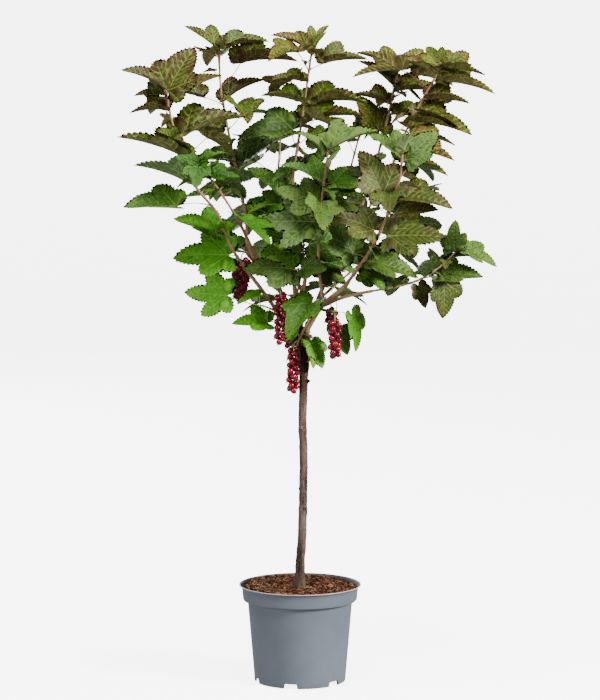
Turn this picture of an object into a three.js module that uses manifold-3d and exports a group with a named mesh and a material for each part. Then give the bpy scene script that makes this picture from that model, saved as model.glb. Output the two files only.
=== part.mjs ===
// Potted redcurrant trained as a small tree: a bare trunk, a knotty head and an open crown.
// Units are millimetres, +Z is up, the front of the plant faces -Y, and the origin is the middle
// of the pot's flat underside.
import * as THREE from 'three';
import { mergeVertices } from 'three/addons/utils/BufferGeometryUtils.js';
import Module from 'manifold-3d';

const wasm = await Module();
wasm.setup();

// Pot
const POT_HEIGHT = 152;
const RIM_RADIUS = 95;
const LIP_HEIGHT = 4;
const COLLAR_RADIUS = 90.2;
const COLLAR_BOTTOM = 127;
const SHOULDER_RADIUS = 81.5;
const BASE_RADIUS = 71;
const WALL = 1.8;
const FLOOR = 3;
const NOTCHES = 6;
const NOTCH_WIDTH = 21;
const NOTCH_HEIGHT = 6.5;
const NOTCH_TURN = -102;
const POT_SIDES = 30;

// Soil
const SOIL_TOP = 149;
const SOIL_EDGE = 144.5;
const SOIL_FLAT = 12;
const SOIL_SIDES = 24;

// Leaves, as shares of a blade's length or in millimetres
const BLADE_THICK = 0.016;
const STALK_RADIUS = 1.1;
const LONG_STALK = 24;
const SMALL_AT_TIP = 0.8;

// How the rule holds a leaf, in degrees: at the foot of the crown, the change up to its top,
// how far it varies, and what a leaf at a shoot's tip adds
const CROWN_FOOT = 560;
const CROWN_DEPTH = 360;
const LIFT = { low: 14, rise: 26, vary: 14, atTip: 22 };
const PITCH = { low: -36, rise: 32, vary: 18, atTip: 26 };
const FOLD = { low: 16, rise: 22, vary: 12, atTip: 0 };
const TILT = { low: 0, rise: 0, vary: 36, atTip: 0 };
const SWING = { low: 0, rise: 0, vary: 30, atTip: 0 };

// Fruit
const BERRY_RADIUS = 5.1;
const BERRY_REACH = 6.2;
const BERRY_STEP = 6;
const TRUSS_STEM = 3.5;
const TRUSS_OUT = 7;
const TRUSS_DROP = 5;
const TRUSS_SWAY = 3;
const GOLDEN_ANGLE = 137.5;

// Clearances: between pieces, between masses, within a mass, and round a leaf's own root
const GAP = 0.3;
const ROOM = 1.5;
const OWN_ROOM = 0.4;
const OWN_REACH = 14;
const STALK_ROOM = 4.2;
const STALK_SPAN = 60;
const BLADE_SPAN = 90;

// A leaf that touches something is turned by steps either way, then made smaller
const TURN_STEP = 9;
const TURNS = 7;
const SIZES = 3;
const SHRINK = 0.14;

// Seeds of the random numbers, and their steps from mass to mass and leaf to leaf
const SEED = 911;
const MASS_STEP = 1013;
const HELD_SEED = [17, 6007];
const TURN_SEED = [31, 7919];

// Fineness of the solids
const SPAN_STEPS = 12;
const BALL_STEP = 4;
const TIDY = 0.25;
const TRUNK_STEPS = 17;
const TRUNK_SIDES = 10;
const BOUGH_STEP = 24;
const BOUGH_SIDES = 6;
const STEM_STEP = 50;
const STEM_SIDES = 4;
const TAPER = 0.8;

// Trunk: centre line, and its radius at each height
const TRUNK_PATH = [[-0.6, 0, 139], [0.6, 0, 190], [3.3, 0, 230], [5.6, 0, 340], [3.9, 0, 406],
  [5.1, 0, 450], [5.5, 0, 509], [0.5, 0, 541]];
const TRUNK_RADII = [[139, 9.4], [149, 9], [156, 7.8], [166, 7.1], [185, 6.5], [204, 6.4], [206, 7],
  [212, 6.2], [262, 5.9], [268, 6.7], [276, 5.8], [386, 5.7], [392, 6.6], [400, 5.7], [470, 6], [500, 7.4],
  [516, 9.2], [530, 9.4], [541, 7]];

// Shoots. path runs from inside the parent to the tip; bare is the share of it without leaves.
// held lists the leaves that make the outline, each as its share of the path, compass bearing
// (0 right, 90 back, 180 left), length, stalk, lift of the stalk, pitch of the blade and how far
// its face is turned to the front, in degrees. turns are the bearings of the leaves between them.
const SHOOTS = [
  { name: 'far_left', parent: 'trunk', base: 6.2, tip: 2.8, bare: 0.34, size: 66,
    path: [[-1, -1, 524], [-45, -15, 594], [-101, -35, 673], [-125, -45, 730], [-164, -60, 783],
      [-170, -62, 825], [-191, -60, 864], [-203, -55, 918]],
    held: [[0.38, 183, 84, 14, 10, 4, 50], [0.48, 178, 68, 14, -20, 30, 38],
      [0.575, 180, 80, 54, 0, 7, 26], [0.67, 180, 88, 8, 10, 30, -12],
      [0.78, 184, 102, 10, -30, 26, 6],
      [0.84, 8, 98, 8, 10, 30, 20], [0.80, 205, 52, 12, 10, 40, 40],
      [0.93, 178, 54, 8, 20, 8, 20], [0.99, 176, 70, 10, 70, 36, 30],
      [0.99, 4, 80, 6, 60, 62, 50], [0.98, 215, 44, 6, 30, 10, 35],
      [0.97, 2, 80, 34, 20, 30, 10]],
    turns: [330, 60, 40, 120] },
  { name: 'left', parent: 'trunk', base: 7.2, tip: 2.8, bare: 0.34, size: 68,
    path: [[-1, 2, 532], [-22, 4, 596], [-77, 8, 668], [-84, 24, 726], [-103, 55, 812],
      [-123, 80, 917], [-126, 90, 985]],
    held: [[0.42, 10, 78, 16, 20, 26, 40],
      [0.50, 181, 80, 10, 10, 10, 14], [0.60, 4, 92, 16, 30, 44, 24],
      [0.62, 178, 64, 10, 20, 8, 16], [0.70, 180, 92, 26, 20, 12, 14],
      [0.73, 8, 56, 34, 50, 4, 20], [0.82, 4, 66, 8, 40, 40, 16],
      [0.81, 178, 66, 40, 20, 16, 20], [0.87, 3, 90, 48, 50, 14, 14],
      [0.99, 178, 58, 8, 30, 40, 24], [0.99, 4, 66, 12, 10, 20, 20]],
    turns: [120, 60, 300, 95] },
  { name: 'leader', parent: 'trunk', base: 7, tip: 2.8, bare: 0.34, size: 68,
    path: [[0, 0, 534], [-9, 2, 627], [-12, 10, 765], [4, 20, 880], [19, 25, 984]],
    held: [[0.47, 183, 72, 14, 40, 46, 40], [0.46, 186, 62, 10, 10, 2, 20],
      [0.64, 2, 56, 32, 10, 40, 60], [0.66, 184, 86, 26, 75, 2, 34],
      [0.74, 2, 86, 12, 25, 14, 20], [0.80, 4, 88, 12, 10, 16, 12],
      [0.81, 180, 58, 10, 10, 18, 20], [0.88, 186, 50, 8, 10, 14, 14],
      [0.92, 2, 68, 26, 25, 14, 16],
      [0.99, 180, 58, 8, 10, 34, 24], [1.0, 30, 40, 6, 50, 56, 30]],
    turns: [90, 60, 300, 120, 240] },
  { name: 'right', parent: 'trunk', base: 7.6, tip: 3, bare: 0.34, size: 70,
    path: [[1, -2, 528], [18, -10, 563], [37, -20, 592], [70, -55, 625], [114, -100, 694],
      [146, -135, 780], [152, -140, 825]],
    held: [[0.80, 178, 74, 18, 40, 66, 60], [0.97, 10, 66, 8, 30, 46, 50],
      [0.99, 178, 54, 8, 40, 40, 40], [0.78, 2, 72, 26, 30, -2, 30],
      [0.74, 4, 66, 12, 10, 10, 40], [0.62, 352, 84, 20, 15, 6, 50],
      [0.66, 184, 66, 10, 10, 30, 50], [0.50, 2, 76, 12, 0, -10, 40],
      [0.46, 8, 64, 10, 4, -14, 50], [0.52, 186, 70, 20, 20, 60, 60],
      [0.42, 340, 60, 14, 6, -14, 50]],
    turns: [90, 120, 270, 60] },
  { name: 'back_right', parent: 'trunk', base: 7, tip: 2.8, bare: 0.42, size: 68,
    path: [[2, 3, 532], [30, 22, 600], [52, 42, 651], [97, 95, 737], [132, 120, 849],
      [154, 130, 948]],
    held: [[0.78, 184, 66, 8, 30, 66, 50], [0.88, 178, 56, 8, 20, 24, 20],
      [0.95, 180, 60, 8, 20, 46, 30], [1.0, 178, 64, 8, 30, 30, 20],
      [1.0, 4, 70, 10, 20, 10, 20], [0.92, 3, 66, 12, 20, 6, 20], [0.84, 3, 62, 14, 10, 0, 20]],
    turns: [60, 120, 330, 90, 20] },
  { name: 'back', parent: 'trunk', base: 6.6, tip: 2.8, bare: 0.36, size: 68,
    path: [[0, 5, 530], [6, 50, 610], [20, 86, 668], [63, 130, 740], [99, 170, 860]],
    held: [],
    turns: [90, 150, 70, 110, 180, 60, 130, 20] },
  { name: 'inner', parent: 'right', base: 4.6, tip: 2.6, bare: 0.4, size: 60,
    path: [[36, -20, 591], [28, -46, 660], [32, -64, 740], [42, -75, 830]],
    held: [[0.66, 184, 66, 8, 20, 24, 60], [0.55, 182, 90, 10, 0, 4, 60],
      [0.62, 350, 76, 20, 0, 0, 50], [0.80, 178, 64, 6, 20, 34, 30],
      [0.78, 2, 56, 14, 10, 4, 40], [0.72, 4, 60, 10, 0, 0, 30],
      [0.97, 184, 50, 6, 40, 50, 30], [0.97, 4, 76, 12, 50, 30, 30]],
    turns: [270, 90] },
  { name: 'low_right', parent: 'right', base: 4.8, tip: 2.6, bare: 0.36, size: 48,
    path: [[34, -19, 588], [75, -40, 606], [164, -60, 626], [205, -65, 647], [240, -70, 678]],
    held: [[0.66, 350, 36, 8, -60, -64, 50], [0.70, 2, 68, 26, 10, 8, 30],
      [0.78, 350, 58, 22, -36, -84, 50], [0.80, 120, 50, 6, 10, 10, 40],
      [0.92, 0, 34, 6, 10, 14, 10], [0.99, 4, 56, 12, 10, -20, 30],
      [0.97, 110, 46, 6, 70, 80, 50], [1.0, 30, 40, 8, 70, 74, 40]],
    turns: [110, 80] },
  { name: 'upright_right', parent: 'back_right', base: 4.8, tip: 2.8, bare: 0.26, size: 70,
    path: [[46, 36, 640], [84, 36, 700], [132, 42, 779], [169, 50, 864], [217, 55, 952]],
    held: [[0.60, 4, 78, 12, 0, -2, 24], [0.55, 355, 72, 14, -10, -4, 24],
      [0.50, 2, 60, 12, -20, -20, 10], [0.66, 2, 64, 20, 4, 0, 10],
      [0.73, 356, 88, 10, 10, -5, 20], [0.78, 2, 66, 10, 0, -12, 16],
      [0.84, 2, 64, 12, 10, 0, 20], [0.93, 2, 82, 18, 0, -2, 16],
      [1.0, 2, 64, 10, 0, -4, 20], [1.0, 130, 44, 6, 50, 50, 40],
      [1.0, 30, 50, 8, 30, 30, 30], [0.98, 180, 66, 10, 0, 30, 20]],
    turns: [90, 300, 60, 150] },
  { name: 'front_left', parent: 'left', base: 4.8, tip: 3, bare: 0.5, size: 60,
    path: [[-63, 7, 650], [-92, -32, 716], [-126, -86, 775], [-152, -118, 808]],
    held: [[1.0, 264, 42, 7, 20, -48, 0], [0.97, 184, 34, 8, 40, 30, 50],
      [0.98, 345, 38, 8, 50, 40, 30], [0.90, 355, 42, 8, -10, 4, 40],
      [0.86, 196, 44, 8, 0, -4, 10], [1.0, 100, 38, 8, 60, 54, 0]],
    turns: [] },
  { name: 'back_left', parent: 'back', base: 4.6, tip: 2.8, bare: 0.3, size: 68,
    path: [[5, 44, 600], [-18, 78, 653], [-34, 130, 760], [-30, 158, 856]],
    held: [],
    turns: [190, 130, 30, 100, 160, 70, 120, 50] },
  { name: 'low_back', parent: 'back', base: 4.4, tip: 2.8, bare: 0.3, size: 68,
    path: [[3, 28, 572], [52, 74, 610], [135, 134, 679], [190, 160, 757]],
    held: [],
    turns: [60, 350, 120, 20, 80, 330, 40] },
];

// Short spurs near the head, with their leaves and hanging fruit.
// trusses give each one's place along the spur, its bearing and its length.
const SPURS = [
  { name: 'front', parent: 'trunk', base: 4.4, tip: 3, size: 60,
    path: [[0, -3, 508], [-2, -14, 520], [-3, -19, 532], [10, -32, 562], [26, -38, 592]],
    held: [[1.0, 222, 74, 10, 20, -36, 10], [0.45, 330, 42, 22, -30, -54, 20],
      [0.40, 200, 26, 14, 50, -50, 10]],
    turns: [], trusses: [[0.33, 196, 76]] },
  { name: 'far_left', parent: 'far_left', base: 3.6, tip: 2.6, size: 60,
    path: [[-32, -11, 576], [-44, -22, 584], [-58, -32, 590]],
    held: [[1.0, 180, 66, 56, 16, 6, 74], [0.45, 190, 54, 22, -72, 10, 40],
      [0.95, 172, 44, 20, 75, -6, 16]],
    turns: [], trusses: [] },
  { name: 'left', parent: 'left', base: 4.2, tip: 3, size: 66,
    path: [[-36, 5, 615], [-20, -22, 634], [-2, -46, 648]],
    held: [[0.9, 188, 74, 6, 20, 8, 56], [0.98, 350, 60, 10, 10, 4, 50]],
    turns: [], trusses: [] },
  { name: 'low_left', parent: 'left', base: 3.6, tip: 3, size: 58,
    path: [[-26, 4, 602], [-28, -12, 611], [-30, -26, 618]],
    held: [],
    turns: [150], trusses: [[0.9, 270, 82]] },
  { name: 'outer_left', parent: 'left', base: 4, tip: 3, size: 58,
    path: [[-55, 6, 640], [-74, 16, 656], [-90, 24, 676]],
    held: [[0.9, 182, 60, 10, 10, 14, 30]],
    turns: [80], trusses: [[0.8, 196, 70]] },
  { name: 'right', parent: 'right', base: 4.2, tip: 3, size: 60,
    path: [[30, -17, 583], [44, -34, 582], [56, -46, 578]],
    held: [[0.5, 20, 60, 40, -10, -70, 50], [0.3, 30, 42, 44, -50, -66, 84],
      [0.7, 100, 60, 30, 40, 10, 40]],
    turns: [], trusses: [[0.85, 280, 66]] },
  { name: 'middle', parent: 'leader', base: 4, tip: 2.8, size: 68,
    path: [[-6, 1, 600], [2, -14, 640], [6, -30, 690]],
    held: [[1.0, 190, 74, 10, 20, 30, 60], [0.9, 350, 74, 10, 20, 10, 60],
      [0.8, 180, 60, 10, 10, 0, 60], [0.5, 345, 66, 26, 10, -20, 50],
      [0.55, 20, 62, 34, 10, -10, 40]],
    turns: [], trusses: [] },
  { name: 'back_left', parent: 'left', base: 4.2, tip: 3, size: 66,
    path: [[-8, 3, 558], [-16, 32, 572], [-34, 54, 590]],
    held: [],
    turns: [160, 195, 70], trusses: [[0.5, 90, 50]] },
  { name: 'back_right', parent: 'back_right', base: 4.2, tip: 3, size: 66,
    path: [[22, 17, 582], [44, 40, 588], [62, 60, 600]],
    held: [],
    turns: [30, 10, 130], trusses: [[0.55, 60, 46]] },
];

// Half outline of a lobed blade, as shares of its length: along the midrib, and out from it
const HALF_OUTLINE = [[-0.10, 0.21], [0.09, 0.43], [0.46, 0.50], [0.72, 0.26]];
const MIDRIB = [0.2, 0.56];

const add = (a, b) => [a[0] + b[0], a[1] + b[1], a[2] + b[2]];
const sub = (a, b) => [a[0] - b[0], a[1] - b[1], a[2] - b[2]];
const mul = (a, k) => [a[0] * k, a[1] * k, a[2] * k];
const dot = (a, b) => a[0] * b[0] + a[1] * b[1] + a[2] * b[2];
const cross = (a, b) => [a[1] * b[2] - a[2] * b[1], a[2] * b[0] - a[0] * b[2],
  a[0] * b[1] - a[1] * b[0]];
const unit = (a) => mul(a, 1 / Math.sqrt(dot(a, a)));
const mix = (a, b, k) => add(mul(a, 1 - k), mul(b, k));
const rad = (d) => d * Math.PI / 180;

// Seeded random numbers between 0 and 1
function dice(seed) {
  let state = seed;
  return () => {
    state = (state * 48271) % 2147483647;
    return state / 2147483647;
  };
}

// A smooth line through a few points, as many short steps with the length run so far
function smoothLine(points) {
  const line = [points[0]];
  for (let i = 0; i < points.length - 1; i++) {
    const b = points[i];
    const c = points[i + 1];
    const a = i > 0 ? points[i - 1] : sub(mul(b, 2), c);
    const d = i + 2 < points.length ? points[i + 2] : sub(mul(c, 2), b);
    for (let k = 1; k <= SPAN_STEPS; k++) {
      const t = k / SPAN_STEPS;
      const p = [0, 1, 2].map((j) => 0.5 * (2 * b[j] + (c[j] - a[j]) * t
        + (2 * a[j] - 5 * b[j] + 4 * c[j] - d[j]) * t * t
        + (3 * b[j] - a[j] - 3 * c[j] + d[j]) * t * t * t));
      line.push(p);
    }
  }
  const run = [0];
  for (let i = 1; i < line.length; i++) {
    const s = sub(line[i], line[i - 1]);
    run.push(run[i - 1] + Math.sqrt(dot(s, s)));
  }
  return { line, run, length: run[run.length - 1] };
}

// The point at a share of a line's length
function pointAt(way, share) {
  const want = share * way.length;
  let i = 1;
  while (i < way.run.length - 1 && way.run[i] < want) i++;
  const k = (want - way.run[i - 1]) / (way.run[i] - way.run[i - 1]);
  return mix(way.line[i - 1], way.line[i], k);
}

function headingAt(way, share) {
  const a = pointAt(way, Math.max(0, share - 0.02));
  const b = pointAt(way, Math.min(1, share + 0.02));
  return unit(sub(b, a));
}

// A solid from points and triangles that face out
function solid(points, faces) {
  const mesh = new wasm.Mesh({
    numProp: 3,
    vertProperties: new Float32Array(points.flat()),
    triVerts: new Uint32Array(faces.flat()),
  });
  return new wasm.Manifold(mesh);
}

// A closed tube with flat ends through a row of centres, with a radius at each
function tube(centres, radii, sides) {
  const points = [];
  const faces = [];
  const count = centres.length;
  let side = null;
  for (let i = 0; i < count; i++) {
    const ahead = unit(sub(centres[Math.min(i + 1, count - 1)], centres[Math.max(i - 1, 0)]));
    if (side === null) {
      const guide = Math.abs(ahead[1]) < 0.9 ? [0, 1, 0] : [1, 0, 0];
      side = unit(cross(guide, ahead));
    } else {
      side = unit(sub(side, mul(ahead, dot(side, ahead))));
    }
    const over = cross(ahead, side);
    for (let k = 0; k < sides; k++) {
      const a = 2 * Math.PI * k / sides;
      const out = add(mul(side, Math.cos(a) * radii[i]), mul(over, Math.sin(a) * radii[i]));
      points.push(add(centres[i], out));
    }
  }
  for (let i = 0; i < count - 1; i++) {
    for (let k = 0; k < sides; k++) {
      const a = i * sides + k;
      const b = i * sides + (k + 1) % sides;
      faces.push([a, b, b + sides], [a, b + sides, a + sides]);
    }
  }
  for (let k = 1; k < sides - 1; k++) {
    const end = (count - 1) * sides;
    faces.push([0, k + 1, k], [end, end + k, end + k + 1]);
  }
  return solid(points, faces);
}

// Part of a tapering limb between two shares of its way, made thicker all round by grow
function limb(plan, from, to, steps, sides, grow = 0) {
  const centres = [];
  const radii = [];
  for (let i = 0; i <= steps; i++) {
    const share = from + (to - from) * i / steps;
    centres.push(pointAt(plan.way, share));
    radii.push(plan.radius(share) + grow);
  }
  return tube(centres, radii, sides);
}

// Every limb's plan: its way, its radius along the way, and a row of balls that stand for it
function planOf(row) {
  const way = smoothLine(row.path);
  const radius = (share) => (row.base + (row.tip - row.base) * Math.pow(share, TAPER)) / 2;
  return { ...row, way, radius, balls: ballsOf(way, radius) };
}

// Balls along a limb, as centre and radius
function ballsOf(way, radius) {
  const count = Math.ceil(way.length / BALL_STEP);
  const balls = [];
  for (let i = 0; i <= count; i++) {
    const share = i / count;
    balls.push([...pointAt(way, share), radius(share)]);
  }
  return balls;
}

// The trunk's radius at a height, with its flare, ring, knots and swollen head
function trunkRadius(z) {
  let i = 1;
  while (i < TRUNK_RADII.length - 1 && TRUNK_RADII[i][0] < z) i++;
  const [z0, r0] = TRUNK_RADII[i - 1];
  const [z1, r1] = TRUNK_RADII[i];
  const k = Math.min(1, Math.max(0, (z - z0) / (z1 - z0)));
  return r0 + (r1 - r0) * k;
}

function trunkPlan() {
  const way = smoothLine(TRUNK_PATH);
  const radius = (share) => trunkRadius(pointAt(way, share)[2]);
  return { name: 'trunk', way, radius, balls: ballsOf(way, radius) };
}

// The frame of a blade: forward along its midrib, to its left, and up from its face
function bladeFrame(bearing, pitch, roll) {
  const b = rad(bearing);
  const p = rad(pitch);
  const r = rad(roll);
  const ahead = [Math.cos(b) * Math.cos(p), Math.sin(b) * Math.cos(p), Math.sin(p)];
  const flat = [-Math.sin(b), Math.cos(b), 0];
  const rise = [-Math.sin(p) * Math.cos(b), -Math.sin(p) * Math.sin(b), Math.cos(p)];
  const left = add(mul(flat, Math.cos(r)), mul(rise, Math.sin(r)));
  const up = add(mul(flat, -Math.sin(r)), mul(rise, Math.cos(r)));
  return { ahead, left, up };
}

// A place on the blade: along and out are shares of its length
function onBlade(leaf, along, out) {
  const f = leaf.frame;
  const wide = out * Math.cos(rad(leaf.fold));
  const high = Math.abs(out) * Math.sin(rad(leaf.fold)) - leaf.droop * along * Math.abs(along);
  const p = add(mul(f.ahead, along * leaf.length), mul(f.left, wide * leaf.length));
  return add(add(leaf.joint, p), mul(f.up, high * leaf.length));
}

// The stalk's way from the stem to the blade, and on a little under the blade
function onStalk(leaf, t) {
  const a = mix(leaf.root, leaf.knee, t);
  const b = mix(leaf.knee, leaf.joint, t);
  return mix(a, b, t);
}

// Balls, sample places, edges and faces of a leaf, for finding out what it touches
function shapeOf(leaf) {
  const rim = [onBlade(leaf, 0, 0)];
  for (const [a, b] of HALF_OUTLINE) rim.push(onBlade(leaf, a, b));
  rim.push(onBlade(leaf, 1, 0));
  for (let i = HALF_OUTLINE.length - 1; i >= 0; i--) {
    rim.push(onBlade(leaf, HALF_OUTLINE[i][0], -HALF_OUTLINE[i][1]));
  }
  const mid = MIDRIB.map((a) => onBlade(leaf, a, 0));
  const all = [...rim, ...mid];
  const tip = HALF_OUTLINE.length + 1;
  const foot = rim.length;
  const crest = rim.length + 1;
  const faces = [];
  for (const way of [1, -1]) {
    const at = (i) => (way > 0 ? i : (rim.length - i) % rim.length);
    const half = [[0, 1, foot], [1, 2, foot], [2, crest, foot], [2, 3, crest], [3, 4, crest],
      [4, tip, crest]];
    for (const tri of half) {
      const t = tri.map((i) => (i < rim.length ? at(i) : i));
      faces.push(way > 0 ? t : [t[0], t[2], t[1]]);
    }
  }
  const outer = { samples: [], edges: [] };
  const inner = { samples: [], edges: [] };
  for (let i = 0; i < rim.length; i++) {
    const a = rim[i];
    const b = rim[(i + 1) % rim.length];
    const part = i > 1 && i < rim.length - 2 ? outer : inner;
    part.edges.push([a, b]);
    part.samples.push(a, mix(a, b, 1 / 3), mix(a, b, 2 / 3));
  }
  outer.samples.push(mid[1], mix(mid[0], mid[1], 0.5), mix(mid[1], rim[tip], 0.5));
  outer.edges.push([mid[0], mid[1]], [mid[1], rim[tip]]);
  inner.samples.push(mid[0]);
  inner.edges.push([rim[0], mid[0]]);
  const stalk = [];
  for (let i = 2; i <= 10; i++) stalk.push(onStalk(leaf, i / 10));
  const tris = faces.map((t) => t.map((i) => all[i]));
  const centre = onBlade(leaf, 0.42, 0);
  return { all, faces, tris, outer, inner, stalk, centre, reach: leaf.length * 0.75 };
}

// Distances from a point to a triangle and to an edge
function distanceToFace(p, face) {
  const [a, b, c] = face;
  const ab = sub(b, a);
  const ac = sub(c, a);
  const n = cross(ab, ac);
  const ap = sub(p, a);
  const nn = dot(n, n);
  const v = dot(cross(ap, ac), n) / nn;
  const w = dot(cross(ab, ap), n) / nn;
  if (v >= 0 && w >= 0 && v + w <= 1) return Math.abs(dot(ap, n)) / Math.sqrt(nn);
  return Math.min(distanceToEdge(p, a, b), distanceToEdge(p, b, c), distanceToEdge(p, c, a));
}

function distanceToEdge(p, a, b) {
  const ab = sub(b, a);
  const t = Math.min(1, Math.max(0, dot(sub(p, a), ab) / dot(ab, ab)));
  const d = sub(p, add(a, mul(ab, t)));
  return Math.sqrt(dot(d, d));
}

// Whether an edge runs through a triangle
function edgeMeetsFace(edge, face) {
  const [a, b, c] = face;
  const n = cross(sub(b, a), sub(c, a));
  const d0 = dot(n, sub(edge[0], a));
  const d1 = dot(n, sub(edge[1], a));
  if (d0 * d1 > 0) return false;
  const p = mix(edge[0], edge[1], d0 / (d0 - d1));
  return dot(cross(sub(b, a), sub(p, a)), n) >= 0 && dot(cross(sub(c, b), sub(p, b)), n) >= 0
    && dot(cross(sub(a, c), sub(p, c)), n) >= 0;
}

// Whether two points are closer than r
function near(p, q, r) {
  const d = sub(p, q);
  return dot(d, d) < r * r;
}

// Whether two leaves come too close. Leaves of one mass may meet at the foot of their blades.
function leavesMeet(one, two, ownMass) {
  const p = one.shape;
  const q = two.shape;
  const room = ownMass ? OWN_ROOM : ROOM;
  if (!near(p.centre, q.centre, p.reach + q.reach + STALK_SPAN)) return false;
  for (const [x, y] of [[p, q], [q, p]]) {
    for (const face of y.tris) {
      if (!near(face[0], x.centre, x.reach + BLADE_SPAN)) continue;
      for (const s of x.outer.samples) if (distanceToFace(s, face) < room) return true;
      for (const e of x.outer.edges) if (edgeMeetsFace(e, face)) return true;
      if (ownMass) continue;
      for (const s of x.inner.samples) if (distanceToFace(s, face) < room) return true;
      for (const e of x.inner.edges) if (edgeMeetsFace(e, face)) return true;
      for (const s of x.stalk) if (distanceToFace(s, face) < room + STALK_RADIUS) return true;
    }
  }
  if (ownMass) return false;
  for (const s of p.stalk) for (const t of q.stalk) if (near(s, t, STALK_ROOM)) return true;
  return false;
}

// Whether a leaf comes too close to a limb or to hanging fruit; it may meet its own stem at its root
function leafMeetsBalls(leaf, balls, own) {
  const s = leaf.shape;
  const room = own ? OWN_ROOM : ROOM;
  for (const ball of balls) {
    const p = [ball[0], ball[1], ball[2]];
    if (!near(p, s.centre, s.reach + BLADE_SPAN)) continue;
    if (own && near(p, leaf.root, OWN_REACH)) continue;
    for (const face of s.tris) if (distanceToFace(p, face) < ball[3] + room) return true;
    if (own) continue;
    for (const q of s.stalk) if (near(p, q, ball[3] + STALK_RADIUS + room)) return true;
  }
  return false;
}

// One leaf on a stem: where it stands, how it is held and how big it is
function makeLeaf(plan, share, bearing, roll, size, atTip) {
  const root = pointAt(plan.way, share);
  const stem = headingAt(plan.way, share);
  const high = Math.min(1, Math.max(0, (root[2] - CROWN_FOOT) / CROWN_DEPTH));
  const angle = (rule) => rule.low + rule.rise * high + rule.vary * (roll() - 0.5)
    + (atTip ? rule.atTip : 0);
  const length = size * (0.88 + 0.26 * roll());
  const stalk = length * (atTip ? 0.34 + 0.12 * roll() : 0.56 + 0.22 * roll());
  const lift = angle(LIFT);
  const pitch = angle(PITCH);
  const fold = angle(FOLD);
  const droop = 0.14 + 0.16 * roll();
  const tilt = angle(TILT);
  const swing = angle(SWING);
  return { root, stem, bearing, length, stalk, lift, pitch, fold, droop, tilt, swing };
}

// A leaf whose hold is given by a row of its shoot. One that faces the front, or hangs, is flatter.
function heldLeaf(plan, row, roll) {
  const [share, bearing, length, stalk, lift, pitch, face] = row;
  const plain = makeLeaf(plan, share, bearing, roll, length, false);
  const tilt = Math.cos(rad(bearing)) > 0 ? face : -face;
  const fold = plain.fold * (face > 45 || pitch < -40 ? 0.4 : 1);
  return { ...plain, length, stalk, lift, pitch, tilt, fold, swing: 0 };
}

// The leaf turned about its stem and made smaller, with its stalk leaving along the stem
function setLeaf(leaf, turn, shrink) {
  const out = { ...leaf, length: leaf.length * shrink, stalk: leaf.stalk * (0.5 + 0.5 * shrink) };
  const b = rad(leaf.bearing + turn);
  const flat = [Math.cos(b), Math.sin(b), 0];
  const l = rad(leaf.lift);
  out.joint = add(out.root, mul([flat[0] * Math.cos(l), flat[1] * Math.cos(l), Math.sin(l)],
    out.stalk));
  const start = unit(add(mul(leaf.stem, 0.6), mul(flat, 0.8)));
  out.knee = add(out.root, mul(start, out.stalk * 0.5));
  out.frame = bladeFrame(leaf.bearing + turn + leaf.swing, leaf.pitch, leaf.tilt);
  out.shape = shapeOf(out);
  return out;
}

// A truss of berries hanging from a spur: its stem's way and the place of each berry
function makeTruss(plan, row, roll) {
  const [share, bearing, length] = row;
  const root = pointAt(plan.way, share);
  const b = rad(bearing);
  const out = [Math.cos(b), Math.sin(b), 0];
  const top = add(root, add(mul(out, TRUSS_OUT), [0, 0, -TRUSS_DROP]));
  const low = add(top, add(mul(out, TRUSS_SWAY), [0, 0, -length]));
  const way = smoothLine([root, top, mix(top, low, 0.5), low]);
  const berries = [];
  const spin = 360 * roll();
  const count = Math.floor((length - 2 * BERRY_RADIUS) / BERRY_STEP) + 1;
  for (let i = 0; i < count; i++) {
    const a = rad(spin + i * GOLDEN_ANGLE);
    const reach = BERRY_REACH * (i > count - 3 ? 0.8 : 1);
    const centre = mix(top, low, (BERRY_RADIUS + 2 + i * BERRY_STEP) / length);
    berries.push(add(centre, [Math.cos(a) * reach, Math.sin(a) * reach, 0]));
  }
  const balls = [];
  const steps = Math.ceil(length / 5);
  for (let i = 1; i <= steps; i++) balls.push([...mix(top, low, i / steps), BERRY_RADIUS + BERRY_REACH]);
  return { way, berries, balls };
}

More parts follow.
